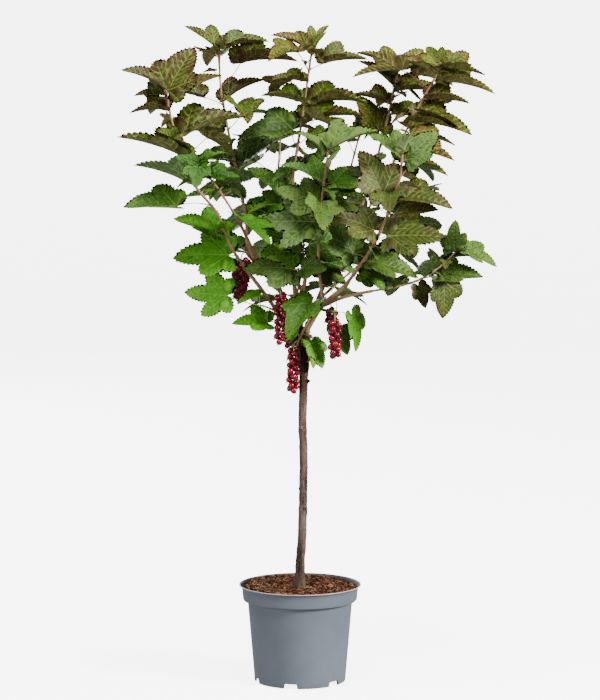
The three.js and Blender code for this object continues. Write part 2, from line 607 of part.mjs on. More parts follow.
// Plans of all limbs, then of all fruit, then leaf by leaf with room kept around each
function growPlant() {
  const trunk = trunkPlan();
  const shoots = SHOOTS.map(planOf);
  const spurs = SPURS.map(planOf);
  const limbs = [trunk, ...shoots, ...spurs];
  const masses = [];
  let seed = SEED;
  for (const [kind, plans] of [['spur', spurs], ['leaves', shoots]]) {
    for (const plan of plans) {
      seed += MASS_STEP;
      const roll = dice(seed);
      const trusses = (plan.trusses ?? []).map((row) => makeTruss(plan, row, roll));
      masses.push({ name: kind + '_' + plan.name, plan, trusses, leaves: [], seed });
    }
  }
  const fruit = masses.flatMap((m) => m.trusses);
  const kept = [];
  const wanted = [];
  for (const mass of masses) {
    mass.plan.held.forEach((row, i) => {
      const roll = dice(mass.seed * HELD_SEED[0] + i * HELD_SEED[1]);
      wanted.push([mass, heldLeaf(mass.plan, row, roll)]);
    });
  }
  for (const mass of masses) {
    const { plan } = mass;
    const start = plan.bare === undefined ? 0.4 : plan.bare + 0.05;
    plan.turns.forEach((bearing, i) => {
      const roll = dice(mass.seed * TURN_SEED[0] + i * TURN_SEED[1]);
      const share = start + (0.97 - start) * Math.pow((i + 0.5) / plan.turns.length, 0.9);
      const atTip = plan.held.length === 0 && i >= plan.turns.length - 3;
      const size = plan.size * (atTip ? SMALL_AT_TIP : 1);
      wanted.push([mass, makeLeaf(plan, share, bearing, roll, size, atTip)]);
    });
  }
  for (const [mass, plain] of wanted) {
    for (let tries = 0; tries < TURNS * SIZES; tries++) {
      const turn = (tries % 2 ? 1 : -1) * TURN_STEP * Math.ceil((tries % TURNS) / 2);
      const leaf = setLeaf(plain, turn, 1 - SHRINK * Math.floor(tries / TURNS));
      const blocked = limbs.some((l) => leafMeetsBalls(leaf, l.balls, l === mass.plan))
        || fruit.some((t) => leafMeetsBalls(leaf, t.balls, false))
        || kept.some((k) => leavesMeet(leaf, k, k.mass === mass));
      if (!blocked) {
        leaf.mass = mass;
        mass.leaves.push(leaf);
        kept.push(leaf);
        break;
      }
    }
  }
  return { trunk, shoots, spurs, masses };
}

// A leaf in one piece: a three-sided stalk that opens into a lens of a blade, with one rim
// and two places on the midrib above it and two below
function leafSolid(leaf) {
  const { all, faces } = leaf.shape;
  const rim = all.length - 2;
  const r = STALK_RADIUS;
  const { left, up, ahead } = leaf.frame;
  const half = mul(up, leaf.length * BLADE_THICK / 2);
  const points = [...all.slice(0, rim)];
  points[0] = add(leaf.joint, mul(left, r));
  points.push(add(all[rim], half), add(all[rim + 1], half));
  points.push(sub(all[rim], half), sub(all[rim + 1], half));
  const other = points.push(sub(leaf.joint, mul(left, r))) - 1;
  const keel = points.push(sub(leaf.joint, mul(up, r * 1.6))) - 1;
  const body = [];
  faces.forEach((face, i) => {
    const t = face.map((k) => (k === 0 && i >= faces.length / 2 ? other : k));
    body.push([t[0], t[2], t[1]], t.map((k) => (k < rim || k > rim + 3 ? k : k + 2)));
  });
  body.push([0, other, rim], [keel, 0, rim + 2], [other, keel, rim + 2]);
  let ring = [0, other, keel];
  const stations = leaf.stalk > LONG_STALK ? [0.5, 0] : [0];
  for (const t of stations) {
    const centre = onStalk(leaf, t);
    const next = onStalk(leaf, Math.min(1, t + 0.1));
    const way = unit(sub(next, centre));
    const side = unit(sub(left, mul(way, dot(left, way))));
    const over = cross(way, side);
    const k = t === 0 ? 1.25 : 1;
    const at = points.length;
    points.push(add(add(centre, mul(side, r * k)), mul(over, r * 0.5 * k)));
    points.push(add(sub(centre, mul(side, r * k)), mul(over, r * 0.5 * k)));
    points.push(sub(centre, mul(over, r * 1.1 * k)));
    for (let i = 0; i < 3; i++) {
      const a = ring[i];
      const b = ring[(i + 1) % 3];
      const c = at + i;
      const d = at + (i + 1) % 3;
      body.push([a, d, b], [a, c, d]);
    }
    ring = [at, at + 1, at + 2];
  }
  body.push([ring[0], ring[2], ring[1]]);
  return solid(points, body);
}

// One berry, and a truss of them on its stem
function berrySolid(centre) {
  const ball = new THREE.IcosahedronGeometry(BERRY_RADIUS, 0);
  ball.deleteAttribute('normal');
  ball.deleteAttribute('uv');
  const merged = mergeVertices(ball, 1e-3);
  const at = merged.attributes.position;
  const points = [];
  for (let i = 0; i < at.count; i++) {
    points.push(add([at.getX(i), at.getY(i), at.getZ(i)], centre));
  }
  const index = Array.from(merged.index.array);
  const faces = [];
  for (let i = 0; i < index.length; i += 3) faces.push(index.slice(i, i + 3));
  return solid(points, faces);
}

function trussSolids(truss) {
  const stem = tube([0, 0.12, 0.3, 1].map((t) => pointAt(truss.way, t)),
    [1.4, 1.8, TRUSS_STEM, TRUSS_STEM], 4);
  return [stem, ...truss.berries.map(berrySolid)];
}

// The largest of the pieces that a cut leaves
function biggest(body) {
  const pieces = body.decompose();
  pieces.sort((a, b) => b.volume() - a.volume());
  return pieces[0];
}

// A stem with its leaves and fruit fused on, cut clear of the limb that carries it
function massSolid(mass, parent) {
  const plan = mass.plan;
  const from = plan.bare ?? 0;
  const steps = plan.bare === undefined ? 3 : Math.round(plan.way.length * (1 - from) / STEM_STEP);
  const bodies = [limb(plan, from, 1, steps, STEM_SIDES)];
  for (const leaf of mass.leaves) bodies.push(leafSolid(leaf));
  for (const truss of mass.trusses) bodies.push(...trussSolids(truss));
  return biggest(wasm.Manifold.union(bodies).simplify(TIDY).subtract(parent));
}

// The trunk, cut off flat where it stands on the soil
function trunkSolid(plan) {
  const floor = new THREE.BoxGeometry(60, 60, 40);
  floor.translate(0, 0, SOIL_TOP - 20);
  return limb(plan, 0, 1, TRUNK_STEPS, TRUNK_SIDES).subtract(toSolid(floor));
}

// A profile of radius and height turned about the upright axis
function ring(profile, sides) {
  const points = profile.map(([r, z]) => new THREE.Vector2(r, z));
  points.push(points[0].clone());
  const turned = new THREE.LatheGeometry(points, sides);
  turned.rotateX(Math.PI / 2);
  return toSolid(turned);
}

// A three.js geometry as a solid, turned right side out
function toSolid(geometry) {
  geometry.deleteAttribute('normal');
  geometry.deleteAttribute('uv');
  const merged = mergeVertices(geometry, 1e-3);
  const at = merged.attributes.position;
  const index = merged.index.array;
  const points = [];
  const faces = [];
  for (let i = 0; i < at.count; i++) points.push([at.getX(i), at.getY(i), at.getZ(i)]);
  for (let i = 0; i < index.length; i += 3) {
    const t = [index[i], index[i + 1], index[i + 2]];
    if (t[0] !== t[1] && t[1] !== t[2] && t[0] !== t[2]) faces.push(t);
  }
  const body = solid(points, faces);
  return body.volume() > 0 ? body : solid(points, faces.map(([a, b, c]) => [a, c, b]));
}

// The pot: a lip, a collar with a step under it, and a tapering body with notches round its foot
function potSolid() {
  const lipBottom = POT_HEIGHT - LIP_HEIGHT;
  const outer = [[0, 0], [BASE_RADIUS - 1.5, 0], [BASE_RADIUS, 1.5], [SHOULDER_RADIUS, COLLAR_BOTTOM],
    [COLLAR_RADIUS - 0.6, COLLAR_BOTTOM], [COLLAR_RADIUS, lipBottom], [RIM_RADIUS - 0.8, lipBottom],
    [RIM_RADIUS, lipBottom + 1], [RIM_RADIUS, POT_HEIGHT - 1], [RIM_RADIUS - 1, POT_HEIGHT]];
  const inner = [[COLLAR_RADIUS - WALL, POT_HEIGHT], [COLLAR_RADIUS - WALL - 0.6, COLLAR_BOTTOM + WALL],
    [SHOULDER_RADIUS - WALL, COLLAR_BOTTOM + WALL], [BASE_RADIUS - WALL, FLOOR], [0, FLOOR]];
  let pot = ring([...outer, ...inner], POT_SIDES);
  for (let i = 0; i < NOTCHES; i++) {
    const box = new THREE.BoxGeometry(26, NOTCH_WIDTH, NOTCH_HEIGHT * 2);
    box.translate(BASE_RADIUS - 2, 0, 0);
    box.rotateZ(rad(NOTCH_TURN + i * 360 / NOTCHES));
    pot = pot.subtract(toSolid(box));
  }
  return biggest(pot);
}

// The soil that fills the pot, a little domed
function soilSolid() {
  const low = FLOOR + GAP;
  const step = COLLAR_BOTTOM + WALL + GAP;
  const wall = (z) => BASE_RADIUS - WALL - GAP
    + (SHOULDER_RADIUS - BASE_RADIUS) * (z - FLOOR) / (COLLAR_BOTTOM + WALL - FLOOR) - 0.4;
  const edge = COLLAR_RADIUS - WALL - GAP - 1;
  const top = [];
  for (const r of [SOIL_FLAT, 50]) {
    const k = (r - SOIL_FLAT) / (edge - SOIL_FLAT);
    top.push([r, SOIL_TOP - (SOIL_TOP - SOIL_EDGE) * k * k]);
  }
  top.reverse();
  return ring([[0, low], [wall(low), low], [wall(step), step], [edge, step], [edge, SOIL_EDGE],
    ...top, [0, SOIL_TOP]], SOIL_SIDES);
}

// A named mesh of a solid, with its finish
function finish(name, body, colour, roughness) {
  const mesh = body.getMesh();
  const geometry = new THREE.BufferGeometry();
  const at = [];
  for (let i = 0; i < mesh.numVert; i++) {
    for (let k = 0; k < 3; k++) at.push(mesh.vertProperties[i * mesh.numProp + k]);
  }
  geometry.setAttribute('position', new THREE.Float32BufferAttribute(at, 3));
  geometry.setIndex(Array.from(mesh.triVerts));
  geometry.computeVertexNormals();
  const material = new THREE.MeshStandardMaterial({ color: colour, roughness, metalness: 0 });
  const out = new THREE.Mesh(geometry, material);
  out.name = name;
  return out;
}

const group = new THREE.Group();
group.name = 'potted_redcurrant_tree';
const plant = growPlant();
group.add(finish('pot', potSolid(), 0x75808a, 0.5));
group.add(finish('soil', soilSolid(), 0x5a2f1c, 0.95));

group.add(finish('trunk', trunkSolid(plant.trunk), 0x6b5848, 0.85));
const grown = { trunk: limb(plant.trunk, 0, 1, TRUNK_STEPS, TRUNK_SIDES, GAP) };
const boughs = [];
for (const plan of plant.shoots) {
  const steps = Math.max(4, Math.round(plan.way.length * plan.bare / BOUGH_STEP));
  let body = limb(plan, 0, plan.bare, steps, BOUGH_SIDES);
  body = body.subtract(grown[plan.parent]);
  for (const other of boughs) body = body.subtract(other);
  grown[plan.name] = limb(plan, 0, plan.bare + GAP / plan.way.length, steps, BOUGH_SIDES, GAP);
  boughs.push(grown[plan.name]);
  group.add(finish('bough_' + plan.name, biggest(body.simplify(TIDY)), 0x7a5038, 0.8));
}
for (const mass of plant.masses) {
  const parent = grown[mass.plan.bare === undefined ? mass.plan.parent : mass.plan.name];
  group.add(finish(mass.name, massSolid(mass, parent), 0x3f6b2c, 0.65));
}

export default group;
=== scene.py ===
# A potted redcurrant grown as a small standard tree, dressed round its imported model.
# Sizes and places are millimetres in the model's frame: +Z up, the front facing -Y, the origin in
# the middle of the pot's flat underside. Meshes are turned into metres as they are made.
import math

import bmesh
import bpy
import numpy as np
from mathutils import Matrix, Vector, noise
from mathutils.geometry import delaunay_2d_cdt


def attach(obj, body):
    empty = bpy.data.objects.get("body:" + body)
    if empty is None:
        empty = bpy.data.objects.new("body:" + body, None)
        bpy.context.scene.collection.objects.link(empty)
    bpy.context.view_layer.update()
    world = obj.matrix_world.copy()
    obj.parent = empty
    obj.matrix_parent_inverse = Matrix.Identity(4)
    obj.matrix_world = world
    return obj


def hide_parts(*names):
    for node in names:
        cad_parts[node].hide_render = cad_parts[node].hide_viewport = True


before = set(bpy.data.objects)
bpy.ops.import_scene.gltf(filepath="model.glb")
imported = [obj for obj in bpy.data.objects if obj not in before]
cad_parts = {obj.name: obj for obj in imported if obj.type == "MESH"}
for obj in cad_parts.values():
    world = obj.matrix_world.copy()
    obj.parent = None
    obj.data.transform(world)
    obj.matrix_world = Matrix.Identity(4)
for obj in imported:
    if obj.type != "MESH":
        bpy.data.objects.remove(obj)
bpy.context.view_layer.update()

MM = 0.001
rad = math.radians

# Camera, in metres, at the height and distance that give the picture's perspective
IMAGE_LONG_SIDE = 700
FOCAL_PIXELS = 2928
SENSOR = 36
CAMERA_PLACE = (0, -4.5, 1.0)
CAMERA_PITCH = 6.11

# Pot
POT_HEIGHT = 152
RIM_RADIUS = 95
COLLAR_RADIUS = 90.2
COLLAR_BOTTOM = 127
SHOULDER_RADIUS = 81.5
BASE_RADIUS = 71
FOOT_HEIGHT = 8
WALL = 1.8
POT_SIDES = 160
NOTCHES = 6
NOTCH_WIDTH = 21
NOTCH_TURN = -102
POT_COLOUR = (0.098, 0.113, 0.138)

# Soil: its top falls from the middle to the edge, and is heaped up towards the pot's high side
SOIL_TOP = 149
SOIL_EDGE = 144.5
SOIL_FLAT = 12
SOIL_RADIUS = 89.4
SOIL_HEAP = 3.8
SOIL_LEAN = 2.9
SOIL_HIGH_SIDE = 145
SOIL_FOOT = (88.2, 138)
SOIL_RINGS = 46
SOIL_SIDES = 150
CHIPS = 2300
FIBRES = 440
CHIP_COLOURS = 4
SOIL_COLOURS = (
    (0.005, 0.0022, 0.002), (0.028, 0.008, 0.004), (0.050, 0.012, 0.005), (0.007, 0.0034, 0.003),
    (0.060, 0.020, 0.008), (0.27, 0.155, 0.080))

# The pot's inside at three heights, each with its radius, which the soil's edge meets
POT_INSIDE = ((140, 88.6), (147.8, 90.2), (150.5, 91.6))

# Leaves of the rule, as in the model's source
STALK_RADIUS = 1.1
SMALL_AT_TIP = 0.8
CROWN_FOOT = 560
CROWN_DEPTH = 360
LIFT = dict(low=14, rise=26, vary=14, at_tip=22)
PITCH = dict(low=-36, rise=32, vary=18, at_tip=26)
FOLD = dict(low=16, rise=22, vary=12, at_tip=0)
TILT = dict(low=0, rise=0, vary=36, at_tip=0)
SWING = dict(low=0, rise=0, vary=30, at_tip=0)

# Fruit
TRUSS_OUT = 7
TRUSS_DROP = 5
TRUSS_SWAY = 3
TRUSS_ROOM = 11.3
GOLDEN_ANGLE = 137.5
BERRY_RADIUS = 5.0
BERRY_REACH = 6.3
BERRY_STEP = 2.8
BERRY_ROWS = 12
BERRY_SIDES = 18
MODEL_BERRY = 5.1
BERRY_COLOURS = ((0.150, 0.002, 0.011), (0.100, 0.001, 0.008), (0.200, 0.003, 0.013))

# Clearances and the turning and shrinking of a leaf that touches something
ROOM = 1.5
OWN_ROOM = 0.4
OWN_REACH = 14
STALK_ROOM = 4.2
STALK_SPAN = 60
BLADE_SPAN = 90
TURN_STEP = 9
TURNS = 7
SIZES = 3
SHRINK = 0.14

# Seeds of the random rules, each mass of leaves with its own
SEED = 911
MASS_STEP = 1013
HELD_SEED = (17, 6007)
TURN_SEED = (31, 7919)
FINE_SEED = (53, 4421)
TINT_SEED = (7, 3)
HEAD_SEED = 3307
BARK_SEED = 4177
SOIL_SEED = 6661
FRUIT_SEED = 8513

# Limbs
SPAN_STEPS = 12
BALL_STEP = 4
TAPER = 0.8

# Trunk: centre line, and its radius at each height
TRUNK = dict(name="trunk", path=[
    [-0.6, 0, 139], [0.6, 0, 190], [3.3, 0, 230], [5.6, 0, 340], [3.9, 0, 406], [5.1, 0, 450],
    [5.5, 0, 509], [0.5, 0, 541]])
TRUNK_RADII = [
    [139, 9.4], [149, 9], [156, 7.8], [166, 7.1], [185, 6.5], [204, 6.4], [206, 7], [212, 6.2],
    [262, 5.9], [268, 6.7], [276, 5.8], [386, 5.7], [392, 6.6], [400, 5.7], [470, 6], [500, 7.4],
    [516, 9.2], [530, 9.4], [541, 7]]
HEAD_TOP = 548

# Shoots. path runs from inside the parent to the tip; bare is the share of it without leaves.
# held lists the leaves that make the outline, each as its share of the path, compass bearing
# (0 right, 90 back, 180 left), length, stalk, lift of the stalk, pitch of the blade and how far
# its face is turned to the front, in degrees. turns are the bearings of the leaves between them.
SHOOTS = [
  dict(name="far_left", base=6.2, tip=2.8, bare=0.34, size=66,
    path=[[-1, -1, 524], [-45, -15, 594], [-101, -35, 673], [-125, -45, 730], [-164, -60, 783],
      [-170, -62, 825], [-191, -60, 864], [-203, -55, 918]],
    held=[[0.38, 183, 84, 14, 10, 4, 50], [0.48, 178, 68, 14, -20, 30, 38],
      [0.575, 180, 80, 54, 0, 7, 26], [0.67, 180, 88, 8, 10, 30, -12],
      [0.78, 184, 102, 10, -30, 26, 6],
      [0.84, 8, 98, 8, 10, 30, 20], [0.80, 205, 52, 12, 10, 40, 40],
      [0.93, 178, 54, 8, 20, 8, 20], [0.99, 176, 70, 10, 70, 36, 30],
      [0.99, 4, 80, 6, 60, 62, 50], [0.98, 215, 44, 6, 30, 10, 35],
      [0.97, 2, 80, 34, 20, 30, 10]],
    turns=[330, 60, 40, 120]),
  dict(name="left", base=7.2, tip=2.8, bare=0.34, size=68,
    path=[[-1, 2, 532], [-22, 4, 596], [-77, 8, 668], [-84, 24, 726], [-103, 55, 812],
      [-123, 80, 917], [-126, 90, 985]],
    held=[[0.42, 10, 78, 16, 20, 26, 40],
      [0.50, 181, 80, 10, 10, 10, 14], [0.60, 4, 92, 16, 30, 44, 24],
      [0.62, 178, 64, 10, 20, 8, 16], [0.70, 180, 92, 26, 20, 12, 14],
      [0.73, 8, 56, 34, 50, 4, 20], [0.82, 4, 66, 8, 40, 40, 16],
      [0.81, 178, 66, 40, 20, 16, 20], [0.87, 3, 90, 48, 50, 14, 14],
      [0.99, 178, 58, 8, 30, 40, 24], [0.99, 4, 66, 12, 10, 20, 20]],
    turns=[120, 60, 300, 95]),
  dict(name="leader", base=7, tip=2.8, bare=0.34, size=68,
    path=[[0, 0, 534], [-9, 2, 627], [-12, 10, 765], [4, 20, 880], [19, 25, 984]],
    held=[[0.47, 183, 72, 14, 40, 46, 40], [0.46, 186, 62, 10, 10, 2, 20],
      [0.64, 2, 56, 32, 10, 40, 60], [0.66, 184, 86, 26, 75, 2, 34],
      [0.74, 2, 86, 12, 25, 14, 20], [0.80, 4, 88, 12, 10, 16, 12],
      [0.81, 180, 58, 10, 10, 18, 20], [0.88, 186, 50, 8, 10, 14, 14],
      [0.92, 2, 68, 26, 25, 14, 16],
      [0.99, 180, 58, 8, 10, 34, 24], [1.0, 30, 40, 6, 50, 56, 30]],
    turns=[90, 60, 300, 120, 240]),
  dict(name="right", base=7.6, tip=3, bare=0.34, size=70,
    path=[[1, -2, 528], [18, -10, 563], [37, -20, 592], [70, -55, 625], [114, -100, 694],
      [146, -135, 780], [152, -140, 825]],
    held=[[0.80, 178, 74, 18, 40, 66, 60], [0.97, 10, 66, 8, 30, 46, 50],
      [0.99, 178, 54, 8, 40, 40, 40], [0.78, 2, 72, 26, 30, -2, 30],
      [0.74, 4, 66, 12, 10, 10, 40], [0.62, 352, 84, 20, 15, 6, 50],
      [0.66, 184, 66, 10, 10, 30, 50], [0.50, 2, 76, 12, 0, -10, 40],
      [0.46, 8, 64, 10, 4, -14, 50], [0.52, 186, 70, 20, 20, 60, 60],
      [0.42, 340, 60, 14, 6, -14, 50]],
    turns=[90, 120, 270, 60]),
  dict(name="back_right", base=7, tip=2.8, bare=0.42, size=68,
    path=[[2, 3, 532], [30, 22, 600], [52, 42, 651], [97, 95, 737], [132, 120, 849],
      [154, 130, 948]],
    held=[[0.78, 184, 66, 8, 30, 66, 50], [0.88, 178, 56, 8, 20, 24, 20],
      [0.95, 180, 60, 8, 20, 46, 30], [1.0, 178, 64, 8, 30, 30, 20],
      [1.0, 4, 70, 10, 20, 10, 20], [0.92, 3, 66, 12, 20, 6, 20], [0.84, 3, 62, 14, 10, 0, 20]],
    turns=[60, 120, 330, 90, 20]),
  dict(name="back", base=6.6, tip=2.8, bare=0.36, size=68,
    path=[[0, 5, 530], [6, 50, 610], [20, 86, 668], [63, 130, 740], [99, 170, 860]],
    turns=[90, 150, 70, 110, 180, 60, 130, 20]),
  dict(name="inner", base=4.6, tip=2.6, bare=0.4, size=60,
    path=[[36, -20, 591], [28, -46, 660], [32, -64, 740], [42, -75, 830]],
    held=[[0.66, 184, 66, 8, 20, 24, 60], [0.55, 182, 90, 10, 0, 4, 60],
      [0.62, 350, 76, 20, 0, 0, 50], [0.80, 178, 64, 6, 20, 34, 30],
      [0.78, 2, 56, 14, 10, 4, 40], [0.72, 4, 60, 10, 0, 0, 30],
      [0.97, 184, 50, 6, 40, 50, 30], [0.97, 4, 76, 12, 50, 30, 30]],
    turns=[270, 90]),
  dict(name="low_right", base=4.8, tip=2.6, bare=0.36, size=48,
    path=[[34, -19, 588], [75, -40, 606], [164, -60, 626], [205, -65, 647], [240, -70, 678]],
    held=[[0.66, 350, 36, 8, -60, -64, 50], [0.70, 2, 68, 26, 10, 8, 30],
      [0.78, 350, 58, 22, -36, -84, 50], [0.80, 120, 50, 6, 10, 10, 40],
      [0.92, 0, 34, 6, 10, 14, 10], [0.99, 4, 56, 12, 10, -20, 30],
      [0.97, 110, 46, 6, 70, 80, 50], [1.0, 30, 40, 8, 70, 74, 40]],
    turns=[110, 80]),
  dict(name="upright_right", base=4.8, tip=2.8, bare=0.26, size=70,
    path=[[46, 36, 640], [84, 36, 700], [132, 42, 779], [169, 50, 864], [217, 55, 952]],
    held=[[0.60, 4, 78, 12, 0, -2, 24], [0.55, 355, 72, 14, -10, -4, 24],
      [0.50, 2, 60, 12, -20, -20, 10], [0.66, 2, 64, 20, 4, 0, 10],
      [0.73, 356, 88, 10, 10, -5, 20], [0.78, 2, 66, 10, 0, -12, 16],
      [0.84, 2, 64, 12, 10, 0, 20], [0.93, 2, 82, 18, 0, -2, 16],
      [1.0, 2, 64, 10, 0, -4, 20], [1.0, 130, 44, 6, 50, 50, 40],
      [1.0, 30, 50, 8, 30, 30, 30], [0.98, 180, 66, 10, 0, 30, 20]],
    turns=[90, 300, 60, 150]),
  dict(name="front_left", base=4.8, tip=3, bare=0.5, size=60,
    path=[[-63, 7, 650], [-92, -32, 716], [-126, -86, 775], [-152, -118, 808]],
    held=[[1.0, 264, 42, 7, 20, -48, 0], [0.97, 184, 34, 8, 40, 30, 50],
      [0.98, 345, 38, 8, 50, 40, 30], [0.90, 355, 42, 8, -10, 4, 40],
      [0.86, 196, 44, 8, 0, -4, 10], [1.0, 100, 38, 8, 60, 54, 0]]),
  dict(name="back_left", base=4.6, tip=2.8, bare=0.3, size=68,
    path=[[5, 44, 600], [-18, 78, 653], [-34, 130, 760], [-30, 158, 856]],
    turns=[190, 130, 30, 100, 160, 70, 120, 50]),
  dict(name="low_back", base=4.4, tip=2.8, bare=0.3, size=68,
    path=[[3, 28, 572], [52, 74, 610], [135, 134, 679], [190, 160, 757]],
    turns=[60, 350, 120, 20, 80, 330, 40]),
]

# Short spurs near the head, with their leaves and hanging fruit. trusses give each one's place
# along the spur, its bearing, its length and, if it isn't 1, how wide its fruit spreads.
SPURS = [
  dict(name="front", base=4.4, tip=3, size=60,
    path=[[0, -3, 508], [-2, -14, 520], [-3, -19, 532], [10, -32, 562], [26, -38, 592]],
    held=[[1.0, 222, 74, 10, 20, -36, 10], [0.45, 330, 42, 22, -30, -54, 20],
      [0.40, 200, 26, 14, 50, -50, 10]],
    trusses=[[0.33, 196, 76]]),
  dict(name="far_left", base=3.6, tip=2.6, size=60,
    path=[[-32, -11, 576], [-44, -22, 584], [-58, -32, 590]],
    held=[[1.0, 180, 66, 56, 16, 6, 74], [0.45, 190, 54, 22, -72, 10, 40],
      [0.95, 172, 44, 20, 75, -6, 16]]),
  dict(name="left", base=4.2, tip=3, size=66,
    path=[[-36, 5, 615], [-20, -22, 634], [-2, -46, 648]],
    held=[[0.9, 188, 74, 6, 20, 8, 56], [0.98, 350, 60, 10, 10, 4, 50]]),
  dict(name="low_left", base=3.6, tip=3, size=58,
    path=[[-26, 4, 602], [-28, -12, 611], [-30, -26, 618]],
    turns=[150], trusses=[[0.9, 270, 82]]),
  dict(name="outer_left", base=4, tip=3, size=58,
    path=[[-55, 6, 640], [-74, 16, 656], [-90, 24, 676]],
    held=[[0.9, 182, 60, 10, 10, 14, 30]],
    turns=[80], trusses=[[0.8, 196, 70, 2.0]]),
  dict(name="right", base=4.2, tip=3, size=60,
    path=[[30, -17, 583], [44, -34, 582], [56, -46, 578]],
    held=[[0.5, 20, 60, 40, -10, -70, 50], [0.3, 30, 42, 44, -50, -66, 84],
      [0.7, 100, 60, 30, 40, 10, 40]],
    trusses=[[0.85, 280, 66]]),
  dict(name="middle", base=4, tip=2.8, size=68,
    path=[[-6, 1, 600], [2, -14, 640], [6, -30, 690]],
    held=[[1.0, 190, 74, 10, 20, 30, 60], [0.9, 350, 74, 10, 20, 10, 60],
      [0.8, 180, 60, 10, 10, 0, 60], [0.5, 345, 66, 26, 10, -20, 50],
      [0.55, 20, 62, 34, 10, -10, 40]]),
  dict(name="back_left", base=4.2, tip=3, size=66,
    path=[[-8, 3, 558], [-16, 32, 572], [-34, 54, 590]],
    turns=[160, 195, 70], trusses=[[0.5, 90, 50]]),
  dict(name="back_right", base=4.2, tip=3, size=66,
    path=[[22, 17, 582], [44, 40, 588], [62, 60, 600]],
    turns=[30, 10, 130], trusses=[[0.55, 60, 46]]),
]

# Small leaves that sprout straight from the head: the spur that keeps each, then a row as in held
HEAD_LEAVES = (
    ("spur_right", 0.965, 10, 34, 16, -6, -64, 40), ("spur_right", 0.975, 330, 30, 20, -30, -70, 10),
    ("spur_right", 0.95, 350, 36, 12, -30, -78, -30), ("spur_right", 0.985, 300, 26, 10, 10, -50, 20),
    ("spur_front", 0.985, 215, 24, 10, 10, -60, 20), ("spur_back_left", 0.96, 150, 32, 14, 0, -50, 20))

# Young leaves: how many at a shoot's tip and in the axils along it, and their lengths
TIP_LEAVES = 4
AXIL_LEAVES = 5
TIP_SIZES = (16, 30)
AXIL_SIZES = (18, 32)

# Tints of the leaves of each shoot, in even steps from its lowest leaf to its tip, and of spurs
# The tawny tint, near the top and on the right, is painted light: a lighter olive for leaves that lean away
# from the key lamp
TINTS = {
    "far_left": ("fresh", "fresh", "mid", "olive", "olive", "bronze"),
    "left": ("fresh", "mid", "deep", "olive", "bronze", "olive"),
    "leader": ("mid", "mid", "deep", "olive", "bronze", "tawny_painted_light"),
    "right": ("mid", "deep", "dusky", "dusky", "deep"),
    "back_right": ("deep", "mid", "tawny_painted_light", "tawny_painted_light"),
    "back": ("mid", "deep", "deep", "olive"),
    "inner": ("mid", "deep", "mid", "deep"),
    "low_right": ("mid", "deep", "dusky", "deep"),
    "upright_right": ("deep", "tawny_painted_light", "tawny_painted_light", "bronze", "tawny_painted_light"),
    "front_left": ("mid", "young"),
    "back_left": ("mid", "deep", "deep", "olive"),
    "low_back": ("mid", "deep", "dusky"),
}
SPUR_TINTS = {"far_left": ("fresh",), "middle": ("deep", "mid"), "left": ("mid", "deep")}
OTHER_SPURS = ("mid", "fresh", "mid")

# The materials of a leaf's faces, in order, each with its roughness
LEAF_KINDS = dict(near_vein=0.44, blade=0.44, patch=0.50, vein=0.50, under=0.62, under_vein=0.58,
                  under_panel=0.62)
NEAR, BLADE, PATCH, VEIN, UNDER, UNDER_VEIN, UNDER_PANEL = range(7)

# Base colours of each tint, linear: blade near its veins, blade between them, its patches, veins
# above, blade below near its veins, veins below and blade below between them
PALETTE = {
    "fresh": (
        (0.062, 0.195, 0.007), (0.038, 0.145, 0.005), (0.072, 0.200, 0.008), (0.110, 0.290, 0.030),
        (0.120, 0.240, 0.050), (0.240, 0.370, 0.120), (0.079, 0.158, 0.033)),
    "young": (
        (0.026, 0.084, 0.002), (0.010, 0.040, 0.001), (0.030, 0.084, 0.002), (0.055, 0.150, 0.008),
        (0.042, 0.104, 0.007), (0.120, 0.210, 0.036), (0.028, 0.069, 0.005)),
    "sprout": (
        (0.120, 0.240, 0.012), (0.080, 0.180, 0.008), (0.130, 0.230, 0.014), (0.200, 0.330, 0.040),
        (0.180, 0.290, 0.060), (0.290, 0.400, 0.130), (0.119, 0.191, 0.040)),
    "mid": (
        (0.060, 0.142, 0.012), (0.034, 0.094, 0.008), (0.066, 0.142, 0.013), (0.150, 0.250, 0.054),
        (0.140, 0.220, 0.066), (0.290, 0.370, 0.160), (0.092, 0.145, 0.044)),
    "deep": (
        (0.060, 0.112, 0.014), (0.030, 0.066, 0.009), (0.064, 0.106, 0.014), (0.150, 0.215, 0.060),
        (0.140, 0.190, 0.066), (0.300, 0.340, 0.160), (0.092, 0.125, 0.044)),
    "dusky": (
        (0.070, 0.096, 0.014), (0.038, 0.054, 0.009), (0.056, 0.032, 0.011), (0.170, 0.200, 0.056),
        (0.160, 0.182, 0.066), (0.300, 0.310, 0.130), (0.106, 0.106, 0.042)),
    "olive": (
        (0.062, 0.096, 0.007), (0.034, 0.054, 0.005), (0.034, 0.020, 0.004), (0.175, 0.225, 0.040),
        (0.185, 0.215, 0.058), (0.310, 0.330, 0.110), (0.130, 0.118, 0.036)),
    # Tawny is olive made lighter, painted light for upper leaves on the right that lean away from the key
    # lamp
    "tawny_painted_light": (
        (0.085, 0.120, 0.010), (0.050, 0.068, 0.007), (0.066, 0.034, 0.007), (0.230, 0.260, 0.055),
        (0.255, 0.270, 0.078), (0.360, 0.380, 0.130), (0.180, 0.142, 0.048)),
    "bronze": (
        (0.068, 0.088, 0.008), (0.036, 0.040, 0.005), (0.036, 0.016, 0.004), (0.170, 0.190, 0.038),
        (0.185, 0.178, 0.060), (0.290, 0.280, 0.100), (0.130, 0.088, 0.034)),
}

